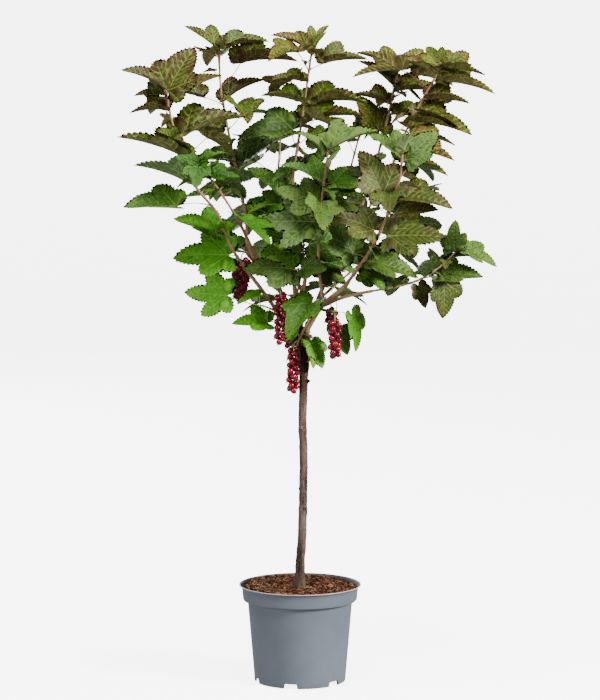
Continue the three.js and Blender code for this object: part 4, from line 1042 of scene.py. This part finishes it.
def dress(mesh, paints):
    """Gives a mesh its materials and smooth faces."""
    mesh.polygons.foreach_set("use_smooth", np.ones(len(mesh.polygons), bool))
    mesh.materials.clear()
    for paint in paints:
        mesh.materials.append(paint)


def worked(*objects):
    """The mesh that the first object's modifiers make of it, once all the objects are gone."""
    source = objects[0].evaluated_get(bpy.context.evaluated_depsgraph_get())
    mesh = bpy.data.meshes.new_from_object(source)
    for used in objects:
        bpy.data.objects.remove(used)
    return mesh


def read(items, name, width, kind=float):
    """An attribute of a mesh's points, edges or faces, as a row of numbers for each."""
    values = np.empty(len(items) * width, kind)
    items.foreach_get(name, values)
    return values.reshape(-1, width)


def settle(name, mesh, nodes=()):
    """Puts a mesh in the scene as a piece on the plant's one body."""
    piece = new_object(name, mesh)
    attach(piece, "root")
    if nodes:
        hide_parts(*nodes)


class Parts:
    """Meshes gathered to be joined into one piece, with the material of each face."""

    def __init__(self):
        self.points, self.faces, self.paints, self.creases = [], [], [], []
        self.count = 0

    def add(self, points, faces, paint=0, creases=()):
        self.points.append(points)
        self.faces.append(faces + self.count)
        self.paints.append(np.full(len(faces), paint))
        if len(creases):
            self.creases.append(creases + self.count)
        self.count += len(points)

    def mesh(self, name):
        return new_mesh(name, np.vstack(self.points), np.vstack(self.faces).tolist())

    def piece(self, name, paints, slot, nodes=()):
        """The joined mesh as a piece of the plant."""
        mesh = self.mesh(name)
        dress(mesh, paints)
        mesh.polygons.foreach_set("material_index", np.concatenate(self.paints).astype(np.int32))
        if self.creases:
            sharp = set(map(tuple, np.sort(np.vstack(self.creases), axis=1).tolist()))
            ends = np.sort(read(mesh.edges, "vertices", 2, np.int32), axis=1).tolist()
            flags = np.array([tuple(edge) in sharp for edge in ends])
            mesh.attributes.new("sharp_edge", "BOOLEAN", "EDGE").data.foreach_set("value", flags)
        mesh.update()
        settle(name, mesh, nodes)


# Materials


def plain_material(name, colour, roughness, **more):
    """A Principled surface with plain values on its sockets."""
    material = bpy.data.materials.new(name)
    material.use_nodes = True
    shader = material.node_tree.nodes["Principled BSDF"]
    shader.inputs["Base Color"].default_value = (*colour, 1)
    shader.inputs["Roughness"].default_value = roughness
    for socket, value in more.items():
        shader.inputs[socket.replace("_", " ")].default_value = value
    return material, material.node_tree, shader


def object_noise(tree, scale, detail, squeeze=(1, 1, 1)):
    """Noise in the object's own space, squeezed along an axis to draw out its grain."""
    where = tree.nodes.new("ShaderNodeTexCoord")
    mapping = tree.nodes.new("ShaderNodeMapping")
    mapping.inputs["Scale"].default_value = squeeze
    grain = tree.nodes.new("ShaderNodeTexNoise")
    grain.inputs["Scale"].default_value = scale
    grain.inputs["Detail"].default_value = detail
    tree.links.new(where.outputs["Object"], mapping.inputs["Vector"])
    tree.links.new(mapping.outputs["Vector"], grain.inputs["Vector"])
    return grain.outputs["Fac"]


def ramp(tree, source, stops):
    """The colours between the stops, picked by a value."""
    node = tree.nodes.new("ShaderNodeValToRGB")
    band = node.color_ramp
    while len(band.elements) < len(stops):
        band.elements.new(0.5)
    for element, (place, colour) in zip(band.elements, stops):
        element.position = place
        element.color = (*colour, 1)
    tree.links.new(source, node.inputs["Fac"])
    return node.outputs["Color"]


def mixed(tree, blend, **inputs):
    """One colour blended over another, where each input is a value or another node's output."""
    node = tree.nodes.new("ShaderNodeMix")
    node.data_type = "RGBA"
    node.blend_type = blend
    for name, value in inputs.items():
        if isinstance(value, bpy.types.NodeSocket):
            tree.links.new(value, node.inputs[name])
        else:
            node.inputs[name].default_value = value
    return node.outputs["Result"]


def add_bump(tree, shader, source, strength, distance):
    bump = tree.nodes.new("ShaderNodeBump")
    bump.inputs["Strength"].default_value = strength
    bump.inputs["Distance"].default_value = distance * MM
    tree.links.new(source, bump.inputs["Height"])
    tree.links.new(bump.outputs["Normal"], shader.inputs["Normal"])


def vary_roughness(tree, shader, source, low, high):
    spread = tree.nodes.new("ShaderNodeMapRange")
    spread.inputs["To Min"].default_value = low
    spread.inputs["To Max"].default_value = high
    tree.links.new(source, spread.inputs["Value"])
    tree.links.new(spread.outputs["Result"], shader.inputs["Roughness"])


def grained_material(name, colour, roughness, scale, distance, squeeze=(1, 1, 1), **more):
    """A plain colour with procedural grain in its relief and its gloss."""
    material, tree, shader = plain_material(name, colour, roughness, **more)
    grain = object_noise(tree, scale, 4, squeeze)
    add_bump(tree, shader, grain, 0.6, distance)
    vary_roughness(tree, shader, grain, max(0.05, roughness - 0.12), min(1, roughness + 0.12))
    return material


def leaf_materials():
    """The materials of every kind of leaf face, tint by tint in the palette's order."""
    paints = []
    for tint, colours in PALETTE.items():
        for (kind, roughness), colour in zip(LEAF_KINDS.items(), colours):
            material, tree, shader = plain_material(
                f"{tint}_{kind}", colour, roughness, Specular_IOR_Level=0.12 if roughness < 0.55 else 0.05)
            net = object_noise(tree, 900, 3)
            add_bump(tree, shader, net, 0.5, 0.12)
            vary_roughness(tree, shader, net, roughness - 0.1, roughness + 0.1)
            paints.append(material)
    return paints


def bark_material():
    """Grey-brown bark with darker streaks and pale pores, darker at its foot and its head."""
    material, tree, shader = plain_material("trunk_bark", (0.15, 0.10, 0.07), 0.8, Specular_IOR_Level=0.15)
    streaks = object_noise(tree, 90, 6, (1, 1, 0.16))
    pores = ramp(tree, object_noise(tree, 420, 4, (1, 1, 3.2)), ((0.60, (0, 0, 0)), (0.68, (1, 1, 1))))
    mottle = ramp(tree, object_noise(tree, 26, 5), ((0.42, (0, 0, 0)), (0.62, (1, 1, 1))))
    where = tree.nodes.new("ShaderNodeTexCoord")
    parts = tree.nodes.new("ShaderNodeSeparateXYZ")
    tree.links.new(where.outputs["Object"], parts.inputs["Vector"])
    shade = ramp(tree, parts.outputs["Z"], HEIGHT_STOPS)
    colour = mixed(tree, "MIX", Factor=pores, A=ramp(tree, streaks, BARK_STOPS), B=(0.27, 0.22, 0.18, 1))
    colour = mixed(tree, "MULTIPLY", Factor=mottle, A=colour, B=(0.72, 0.60, 0.54, 1))
    colour = mixed(tree, "MULTIPLY", Factor=1, A=colour, B=shade)
    tree.links.new(colour, shader.inputs["Base Color"])
    add_bump(tree, shader, streaks, 0.8, 0.8)
    return material


def pot_material():
    """Matt grey plastic with faint clouding and a fine moulded grain."""
    material, tree, shader = plain_material("pot_plastic", POT_COLOUR, 0.42)
    cloud = object_noise(tree, 14, 5)
    shades = [(place, tuple(c * k for c in POT_COLOUR)) for place, k in ((0.3, 0.90), (0.7, 1.10))]
    tree.links.new(ramp(tree, cloud, shades), shader.inputs["Base Color"])
    add_bump(tree, shader, object_noise(tree, 1600, 2), 0.25, 0.06)
    vary_roughness(tree, shader, cloud, 0.34, 0.52)
    return material


def fruit_materials():
    """Clear red skins of three depths, with a little light through them."""
    out = []
    for i, colour in enumerate(BERRY_COLOURS):
        material, tree, shader = plain_material(
            f"currant_{i}", colour, 0.10, Specular_IOR_Level=0.45, Subsurface_Weight=0.15,
            Subsurface_Scale=0.002, Subsurface_Radius=(1.0, 0.12, 0.06))
        add_bump(tree, shader, object_noise(tree, 700, 2), 0.12, 0.06)
        out.append(material)
    return out


# Wood


def rough_limb(limb, end, sides, step, grow):
    """A limb's tube up to a share of it, a little thicker, for the bark to be made from."""
    count = max(3, math.ceil(limb.way.length * end / step))
    shares = [end * i / count for i in range(count + 1)]
    return tube_mesh([limb.way.at(s) for s in shares], [limb.radius(s) + grow for s in shares], sides)


def lump(centre, sizes, roll):
    """A rounded knob with a bumpy surface."""
    made = bmesh.new()
    bmesh.ops.create_icosphere(made, subdivisions=3, radius=1)
    turn = 6.28 * roll()
    seed = Vector((roll() * 40, roll() * 40, roll() * 40))
    points = []
    for v in made.verts:
        x, y, z = np.array(v.co) * sizes * (1 + 0.22 * noise.noise(v.co * 1.7 + seed))
        points.append((x * math.cos(turn) - y * math.sin(turn), x * math.sin(turn) + y * math.cos(turn), z))
    faces = [[v.index for v in f.verts] for f in made.faces]
    made.free()
    return points + centre, np.array(faces)


def trunk_centre(trunk, height):
    """X and Y of the trunk's centre line at a height, or at each of many."""
    line = trunk.way.line
    return [np.interp(height, line[:, 2], line[:, k]) for k in range(2)]


def place_on_trunk(trunk, height, bearing, out):
    return np.array([*trunk_centre(trunk, height), height]) + way_to(bearing) * out


def distance_to_trunk(points, trunk):
    """How far points are from the trunk and head's own surface, as a share of 14 mm."""
    x, y, z = points.T
    middle_x, middle_y = trunk_centre(trunk, z)
    out = np.hypot(x - middle_x, y - middle_y) - trunk_radius(z)
    return np.maximum(out, np.maximum(0, z - HEAD_TOP)) / 14


def make_bark(plant, twig_paints):
    """Trunk, head and boughs in one skin, with ridges and pores in its relief."""
    roll = dice(BARK_SEED)
    trunk = plant["trunk"]
    raw = Parts()
    raw.add(*rough_limb(trunk, 1, 24, 3, SKIN_LOSS))
    for height, bearing, out, sizes in KNOBS:
        raw.add(*lump(place_on_trunk(trunk, height, bearing, out), sizes, roll))
    for height, bearing, lift, length, radius in STUBS:
        foot = place_on_trunk(trunk, height, bearing, 1)
        far = foot + way_to(bearing, lift) * (trunk_radius(height) + length)
        raw.add(*tube_mesh([foot, (foot + far) / 2, far], [radius * 1.25, radius, radius], 12))
    for limb in plant["shoots"]:
        raw.add(*rough_limb(limb, limb.row["bare"] + 0.01, 12, 4, SKIN_LOSS * 0.8))
        raw.add(*lump(limb.way.at(0.06), [limb.radius(0) * 1.5] * 3, roll))
    rough = new_object("bark_rough", raw.mesh("bark"))
    remesh = rough.modifiers.new("skin", "REMESH")
    remesh.mode = "VOXEL"
    remesh.voxel_size = BARK_VOXEL * MM
    smooth = rough.modifiers.new("smooth", "SMOOTH")
    smooth.iterations = 3
    smooth.factor = 0.5
    bark = worked(rough)
    at = read(bark.vertices, "co", 3) / MM
    ridges = np.array([sum(height * noise_at(x * wide, y * wide, z * tall + shift)
                           for height, wide, tall, shift in BARK_RIDGES) for x, y, z in at])
    ridges *= 0.35 + 0.65 * (1 - np.clip(distance_to_trunk(at, trunk), 0, 1))
    at += read(bark.vertex_normals, "vector", 3) * ridges[:, None]
    bark.vertices.foreach_set("co", (at * MM).ravel())
    knot_paint = grained_material("knot_bark", (0.040, 0.025, 0.018), 0.85, 300, 0.6)
    dress(bark, [bark_material(), *twig_paints, knot_paint])
    middles = read(bark.polygons, "center", 3) / MM
    knots = np.array([place_on_trunk(trunk, *row[:3]) for row in KNOBS])
    reach = np.array([max(sizes) * 0.95 for *place, sizes in KNOBS])
    ragged = np.array([0.9 * noise_at(*(middle * 0.8)) for middle in middles])
    knotty = (np.linalg.norm(middles[:, None] - knots, axis=-1) + ragged[:, None] < reach).any(1)
    # Boughs on the right, where the key lamp falls, take the lighter shoot colour as painted light; those
    # on the left the darker one
    bough_paints_lit_right = np.where(middles[:, 0] > -20, 2, 1)
    paints = np.where(distance_to_trunk(middles, trunk) > 0.5, bough_paints_lit_right, np.where(knotty, 4, 0))
    bark.polygons.foreach_set("material_index", paints.astype(np.int32))
    bark.update()
    settle("bark", bark, ["trunk"] + ["bough_" + limb.name for limb in plant["shoots"]])


def bud(centre, way, size):
    """A pointed bud that lies along a stem."""
    centres = [centre + way * size * t for t in (-0.5, -0.15, 0.35, 0.8, 1.25)]
    return tube_mesh(centres, [size * k for k in (0.30, 0.44, 0.40, 0.22, 0.05)], 7)


def make_twigs(plant, twig_paints):
    """Leafy stems and spurs, swollen at each leaf, with buds in the axils and at the tips."""
    parts = Parts()
    bud_paint = len(twig_paints) - 1
    for i, mass in enumerate(plant["masses"].values()):
        limb = mass["limb"]
        start = limb.row.get("bare", 0)
        count = math.ceil(limb.way.length * (1 - start) / 2.5)
        shares = [start + (1 - start) * k / count for k in range(count + 1)]
        held = [leaf for leaf in mass["leaves"] if "sprout" not in leaf]
        radii = []
        for s in shares:
            near = min([abs(s - leaf["share"]) * limb.way.length for leaf in held] or [99])
            radii.append(limb.radius(s) * (1 + 0.38 * math.exp(-(near / 2.4) ** 2)))
        parts.add(*tube_mesh([limb.way.at(s) for s in shares], radii, 9), i % len(twig_paints))
        for leaf in held:
            out = unit(leaf["knee"] - leaf["root"])
            way = unit(leaf["stem"] + out * 0.5)
            foot = leaf["root"] + out * (limb.radius(leaf["share"]) + 0.4)
            parts.add(*bud(foot + way * 1.6, way, 2.0), bud_paint)
        parts.add(*bud(limb.way.at(1), limb.way.heading(1), 2.6), bud_paint)
    parts.piece("twigs", twig_paints, "shoot_bark")


# Foliage


def make_leaves(plant):
    """The blades, in four pieces, with each leaf's tint from its place on its shoot."""
    templates = [Template(LOBES[kind], seed) for kind, seed in TEMPLATES]
    paints = leaf_materials()
    tints = list(PALETTE)
    for name, members in LEAF_GROUPS.items():
        parts = Parts()
        for mass in [plant["masses"][member] for member in members]:
            roll = dice(mass["seed"] * TINT_SEED[0] + TINT_SEED[1])
            limb = mass["limb"]
            low = limb.row.get("bare", 0)
            choices = TINTS[limb.name] if low else SPUR_TINTS.get(limb.name, OTHER_SPURS)
            for leaf in mass["leaves"]:
                template = templates[int(roll() * len(templates)) % len(templates)]
                points, faces, kinds, rim = leaf_mesh(leaf, template, roll)
                high = (leaf["share"] - low) / (1 - low) + 0.16 * (roll() - 0.5)
                tint = choices[int(min(0.999, max(0, high)) * len(choices))]
                tint = "sprout" if "sprout" in leaf else tint
                parts.add(points, faces, kinds + len(LEAF_KINDS) * tints.index(tint), rim)
        parts.piece(name, paints, "foliage", members)


def make_leaf_stalks(plant):
    """A stalk from each leaf's root that runs on under its blade, red in the crown's upper part."""
    parts = Parts()
    for leaf in [leaf for mass in plant["masses"].values() for leaf in mass["leaves"]]:
        ahead, left, up = leaf["frame"]
        reach = [on_stalk(leaf, t) for t in np.linspace(0, 1, 9)]
        reach += [leaf["joint"] + ahead * leaf["length"] * k - up * 0.5 for k in (0.03, 0.08)]
        radii = [r * (0.75 + 0.25 * min(1, leaf["length"] / 70)) for r in STALK_RADII]
        parts.add(*tube_mesh(reach, radii, 7), int(leaf["root"][2] <= RED_STALKS_ABOVE))
    paints = [grained_material("stalk_red", (0.17, 0.055, 0.045), 0.5, 500, 0.15),
              grained_material("stalk_green", (0.17, 0.19, 0.05), 0.5, 500, 0.15)]
    parts.piece("leaf_stalks", paints, "leaf_stalks")


# Fruit


def berry_mesh(centre, radius, way, roll):
    """A round berry, a little drawn in at its two ends."""
    axis = unit(way)
    side, over = across(axis, 2)
    turn = 6.28 * roll()
    rows = [[centre - axis * radius * 0.97]]
    for a in [math.pi * j / BERRY_ROWS for j in range(1, BERRY_ROWS)]:
        middle = centre - axis * math.cos(a) * radius
        rows.append(ring(middle, side, over, math.sin(a) * radius, BERRY_SIDES, turn))
    return split(*skin([*rows, [centre + axis * radius * 0.98]]))


def withered_flower(centre, way, roll):
    """The dry brown tuft at a berry's end, as a short neck and five shrivelled tips."""
    axis = unit(way)
    side, over = across(axis, 2)
    out = [tube_mesh([centre - axis * 0.6, centre + axis * 1.0], [0.9, 0.6], 6)]
    for k in range(5):
        a = 2 * math.pi * (k + 0.5 * roll()) / 5
        spread = side * math.cos(a) + over * math.sin(a)
        tip = centre + axis * (2.4 + roll()) + spread * (0.5 + 0.8 * roll())
        out.append(tube_mesh([centre + axis * 0.6 + spread * 0.4, tip], [0.45, 0.15], 4))
    return out


def make_fruit(plant):
    """Berries on thin stalks along the stem of each truss."""
    berries, stems = Parts(), Parts()
    roll = dice(FRUIT_SEED)
    for truss in [truss for mass in plant["masses"].values() for truss in mass["trusses"]]:
        centres = [truss["way"].at(t) for t in np.linspace(0, 1, 24)]
        stems.add(*tube_mesh(centres, np.linspace(1.0, 0.5, 24), 6))
        for foot, centre, side in truss["berries"]:
            radius = BERRY_RADIUS * (0.93 + 0.12 * roll())
            hang = unit(side * 0.75 - (0, 0, 0.75) + np.array([roll(), roll(), roll()]) * 0.3)
            berries.add(*berry_mesh(centre, radius, hang, roll), int(roll() * 3) % 3)
            for tuft in withered_flower(centre + hang * radius * 0.96, hang, roll):
                stems.add(*tuft, 1)
            start = foot + (0, 0, 3.0)
            line = [start, (start + centre) / 2 + (0, 0, 1.2), centre - hang * radius * 0.9]
            stems.add(*tube_mesh(line, [0.42, 0.36, 0.5], 5))
    berries.piece("fruit", fruit_materials(), "fruit")
    stalks = [grained_material("truss_stalk", (0.17, 0.20, 0.05), 0.5, 500, 0.1),
              grained_material("dry_flower", (0.05, 0.028, 0.014), 0.9, 900, 0.2)]
    stems.piece("fruit_stalks", stalks, "leaf_stalks")


# Pot and soil


def pot_profile():
    """The pot's wall, from the middle of its raised base out round the foot, up the outside,
    over the rim and down the inside."""
    foot, base, shoulder, shelf = FOOT_HEIGHT, BASE_RADIUS, SHOULDER_RADIUS, COLLAR_BOTTOM
    collar, rim, top = COLLAR_RADIUS, RIM_RADIUS, POT_HEIGHT
    rises = [i / 14 for i in range(1, 14)]
    return [
        (0, foot), (30, foot), (base - 6, foot), *arc((base - 5, foot - 2), 2, 90, 0, 3),
        (base - 3, 1), *arc((base - 2, 1), 1, 180, 270, 3)[1:], *arc((base - 1, 1), 1, -90, 0, 3),
        *[(base + (shoulder - base) * t, 1 + (shelf - 3) * t) for t in rises], (shoulder, shelf - 1.4),
        *arc((shoulder + 1, shelf - 1), 1, 180, 90, 3), *arc((collar - 4.2, shelf + 3), 3, -90, -8, 6),
        (collar - 0.7, shelf + 9), (collar - 0.1, shelf + 15), (collar + 0.8, top - 5.6),
        (collar + 2.0, top - 3.2), (rim - 1.2, top - 2.0), (rim - 0.2, top - 1.3), (rim, top - 0.7),
        (rim - 0.3, top - 0.15), (rim - 0.9, top), (rim - 1.7, top - 0.4), (rim - 2.6, top - 1.5),
        (collar + 0.4, top - 4.2), (collar - 1.2, top - 12), (collar - WALL - 0.6, shelf + WALL + 1),
        (shoulder - WALL, shelf + WALL), (base - WALL - 1.2, foot + 3), (base - WALL - 2.2, foot + 2),
        (30, foot + 2), (0, foot + 2)]


def notch_cutter():
    """Wedges, narrower at their tops, that cut the foot's drain notches."""
    points, faces = [], []
    for turn in [NOTCH_TURN + i * 360 / NOTCHES for i in range(NOTCHES)]:
        out, side = way_to(turn), way_to(turn + 90)
        quads = ((0, 1, 3, 2), (4, 6, 7, 5), (0, 4, 5, 1), (2, 3, 7, 6), (0, 2, 6, 4), (1, 5, 7, 3))
        faces += [[len(points) + k for k in quad] for quad in quads]
        for z, half in ((-6, NOTCH_WIDTH / 2 + 1.6), (FOOT_HEIGHT - 0.5, NOTCH_WIDTH / 2 - 1.2)):
            for reach in (BASE_RADIUS - 14, BASE_RADIUS + 10):
                points += [out * reach + side * half * way + (0, 0, z) for way in (-1, 1)]
    return new_object("notches", new_mesh("notches", points, faces))


def make_pot():
    """The pot's shell with its notches cut, stained dark inside by soil, painted dark under its base as
    shade, and pale along its lip as a painted highlight with a little dirt.
    """
    pot = new_object("pot_shell", new_mesh("pot", *lathe(pot_profile(), POT_SIDES)))
    cutter = notch_cutter()
    cut = pot.modifiers.new("notches", "BOOLEAN")
    cut.operation = "DIFFERENCE"
    cut.solver = "EXACT"
    cut.object = cutter
    shell = worked(pot, cutter)
    dress(shell, [pot_material(), grained_material("pot_stain_and_shade", (0.050, 0.044, 0.042), 0.7, 120, 0.3),
                  grained_material("pot_lip_highlight", (0.34, 0.27, 0.24), 0.5, 300, 0.1)])
    for face in shell.polygons:
        x, y, z = face.center / MM
        r = math.hypot(x, y)
        # The wall's inside is stained dark by soil; the base's underside and the foot's inside, seen
        # through the notches, take the same colour as painted shade
        soil_stain_and_shade = (x * face.normal.x + y * face.normal.y) / max(r, 1) < -0.05 or r < BASE_RADIUS - 4
        if soil_stain_and_shade and z < POT_HEIGHT - 0.9:
            face.material_index = 1
        # The lip's top edge is pale: a painted highlight, with a little dirt
        elif z > POT_HEIGHT - 1.2 and r > RIM_RADIUS - 1.2:
            face.material_index = 2
    shell.set_sharp_from_angle(angle=rad(38))
    settle("pot_wall", shell, ["pot"])


def soil_height(x, y):
    """The soil's crumbly top at a place."""
    r = math.hypot(x, y)
    k = max(0, r - SOIL_FLAT) / (SOIL_RADIUS - SOIL_FLAT)
    fall = (SOIL_TOP - SOIL_EDGE) * k * k
    uphill = (x * math.cos(rad(SOIL_HIGH_SIDE)) + y * math.sin(rad(SOIL_HIGH_SIDE))) / SOIL_RADIUS
    heaped = (SOIL_HEAP + SOIL_LEAN * uphill) * (r / SOIL_RADIUS) ** 2
    rough = 1.5 * noise_at(x * 0.06, y * 0.06, 3) + 1.1 * noise_at(x * 0.2, y * 0.2, 7)
    return SOIL_TOP - fall + heaped + rough * min(1, (SOIL_RADIUS - r) / 6 + 0.3) - 0.6


def soil_rows():
    """Rings of points over the bed's top out to the pot's wall, then down to its flat underside."""
    rows = [[(0, 0, soil_height(0, 0))]]
    ways = [(math.cos(a), math.sin(a)) for a in 2 * math.pi * np.arange(SOIL_SIDES) / SOIL_SIDES]
    edges = [np.interp(soil_height(SOIL_RADIUS * u, SOIL_RADIUS * v), *zip(*POT_INSIDE)) for u, v in ways]
    for j in range(1, SOIL_RINGS + 1):
        row = []
        for (u, v), edge in zip(ways, edges):
            x, y = edge * j / SOIL_RINGS * u, edge * j / SOIL_RINGS * v
            row.append((x, y, soil_height(x, y) + 0.5 * noise_at(x * 0.7, y * 0.7, 11)))
        rows.append(row)
    radius, low = SOIL_FOOT
    return [*rows, [(radius * u, radius * v, low) for u, v in ways], [(0, 0, low)]]


def make_soil():
    """The bed of fine soil, with bark chips and fibres lying on it."""
    parts = Parts()
    points, faces = split(*skin(soil_rows()))
    parts.add(points, faces[:, ::-1])
    roll = dice(SOIL_SEED)
    for i in range(CHIPS):
        parts.add(*chip(roll), 1 + int(roll() * CHIP_COLOURS) % CHIP_COLOURS)
    for i in range(FIBRES):
        parts.add(*fibre(roll), 1 + CHIP_COLOURS)
    paints = [grained_material(f"soil_{i}", colour, 0.92, 260, 0.7, Specular_IOR_Level=0.06)
              for i, colour in enumerate(SOIL_COLOURS)]
    parts.piece("soil_bed", paints, "soil", ["soil"])


def spot_on_soil(roll):
    """A random place on the soil, clear of the trunk's foot."""
    r = min(11 + (SOIL_RADIUS - 15) * math.sqrt(roll()), SOIL_RADIUS - 4)
    a = 6.2832 * roll()
    return r * math.cos(a), r * math.sin(a)


def turning(k, angle):
    """A turn about X, Y or Z, which k numbers."""
    i, j = (k + 1) % 3, (k + 2) % 3
    turn = np.eye(3)
    turn[i, i] = turn[j, j] = math.cos(angle)
    turn[j, i] = math.sin(angle)
    turn[i, j] = -math.sin(angle)
    return turn


def chip(roll):
    """An irregular flake of bark, as a box drawn out to a point at each end."""
    x, y = spot_on_soil(roll)
    big = roll() ** 2.2
    size = np.array([1.2 + 3.6 * big, 0.8 + 1.9 * big, 0.5 + 0.9 * big])
    points = []
    for corner in np.ndindex(2, 2, 2):
        jitter = np.array([roll(), roll(), roll()]) * 0.6 - 0.3
        points.append(((np.array(corner) * 2 - 1) * 0.7 + jitter) * size)
    for end in (-1, 1):
        tip = [end * (1.1 + 0.4 * roll()), 0.3 * (roll() - 0.5), 0.2 * (roll() - 0.5)]
        points.append(np.array(tip) * size)
    turn = turning(2, 6.2832 * roll()) @ turning(0, 0.9 * (roll() - 0.5)) @ turning(1, 0.9 * (roll() - 0.5))
    faces = ((0, 1, 8), (1, 3, 8), (3, 2, 8), (2, 0, 8), (4, 9, 5), (5, 9, 7), (7, 9, 6), (6, 9, 4),
             (0, 4, 5), (0, 5, 1), (2, 3, 7), (2, 7, 6), (0, 2, 6), (0, 6, 4), (1, 5, 7), (1, 7, 3))
    return points @ turn.T + (x, y, soil_height(x, y) + size[2] * 0.3), np.array(faces)


def fibre(roll):
    """A pale thread that curves over the soil."""
    x, y = spot_on_soil(roll)
    a, bend, length = 6.2832 * roll(), 1.6 * (roll() - 0.5), 5 + 11 * roll()
    line = []
    for t in np.linspace(0, 1, 6):
        x += math.cos(a + bend * t) * length / 6
        y += math.sin(a + bend * t) * length / 6
        keep = min(1, (SOIL_RADIUS - 3) / max(1, math.hypot(x, y)))
        x, y = x * keep, y * keep
        line.append((x, y, soil_height(x, y) + 0.8 + 0.7 * math.sin(3.1 * t)))
    return tube_mesh(line, [0.24] * 6, 4)


# Stage, lights and camera


def make_stage():
    """A pale floor that rises in a soft curve far out on all sides."""
    flat = STAGE_RADIUS - STAGE_CURVE
    line = [(0, 0), (1500, 0), (flat, 0), *arc((flat, STAGE_CURVE), STAGE_CURVE, -90, 0, 16)[1:],
            (STAGE_RADIUS, STAGE_WALL)]
    points, faces = lathe(line, 96)
    mesh = new_mesh("floor", points, [face[::-1] for face in faces])
    material, tree, shader = plain_material("floor_paper", (0.86, 0.86, 0.86), 0.9, Specular_IOR_Level=0.1,
                                            Emission_Color=(1, 1, 1, 1), Emission_Strength=STAGE_GLOW)
    dress(mesh, [material])
    floor = new_object("floor", mesh)
    floor.location.z = -0.0005
    floor.visible_diffuse = False
    floor.visible_glossy = False


def make_lights():
    """Large soft lamps and an even white surround."""
    world = bpy.data.worlds.new("studio")
    world.use_nodes = True
    sky = world.node_tree.nodes["Background"]
    sky.inputs["Color"].default_value = (1, 1, 1, 1)
    sky.inputs["Strength"].default_value = WORLD_STRENGTH
    bpy.context.scene.world = world
    for name, place, size, power, colour in LIGHTS:
        light = bpy.data.lights.new(name, "AREA")
        light.shape = "DISK"
        light.size = size
        light.energy = power
        light.color = colour
        lamp = new_object(name, light)
        lamp.location = place
        lamp.rotation_euler = (Vector(LIGHTS_AIM) - Vector(place)).to_track_quat("-Z", "Y").to_euler()


def make_camera():
    camera = bpy.data.cameras.new("camera")
    camera.sensor_width = SENSOR
    camera.sensor_fit = "AUTO"
    camera.lens = SENSOR * FOCAL_PIXELS / IMAGE_LONG_SIDE
    camera.clip_end = 100
    eye = new_object("camera", camera)
    eye.location = CAMERA_PLACE
    eye.rotation_euler = (rad(90 - CAMERA_PITCH), 0, 0)
    bpy.context.scene.camera = eye


make_camera()
make_stage()
make_lights()
make_pot()
make_soil()
plant = grow_plant()
twig_paints = [grained_material(f"shoot_{i}", colour, 0.62, 160, 0.5, (1, 1, 0.25), Specular_IOR_Level=0.2)
               for i, colour in enumerate(TWIG_COLOURS)]
make_bark(plant, twig_paints)
make_twigs(plant, twig_paints)
make_leaves(plant)
make_leaf_stalks(plant)
make_fruit(plant)
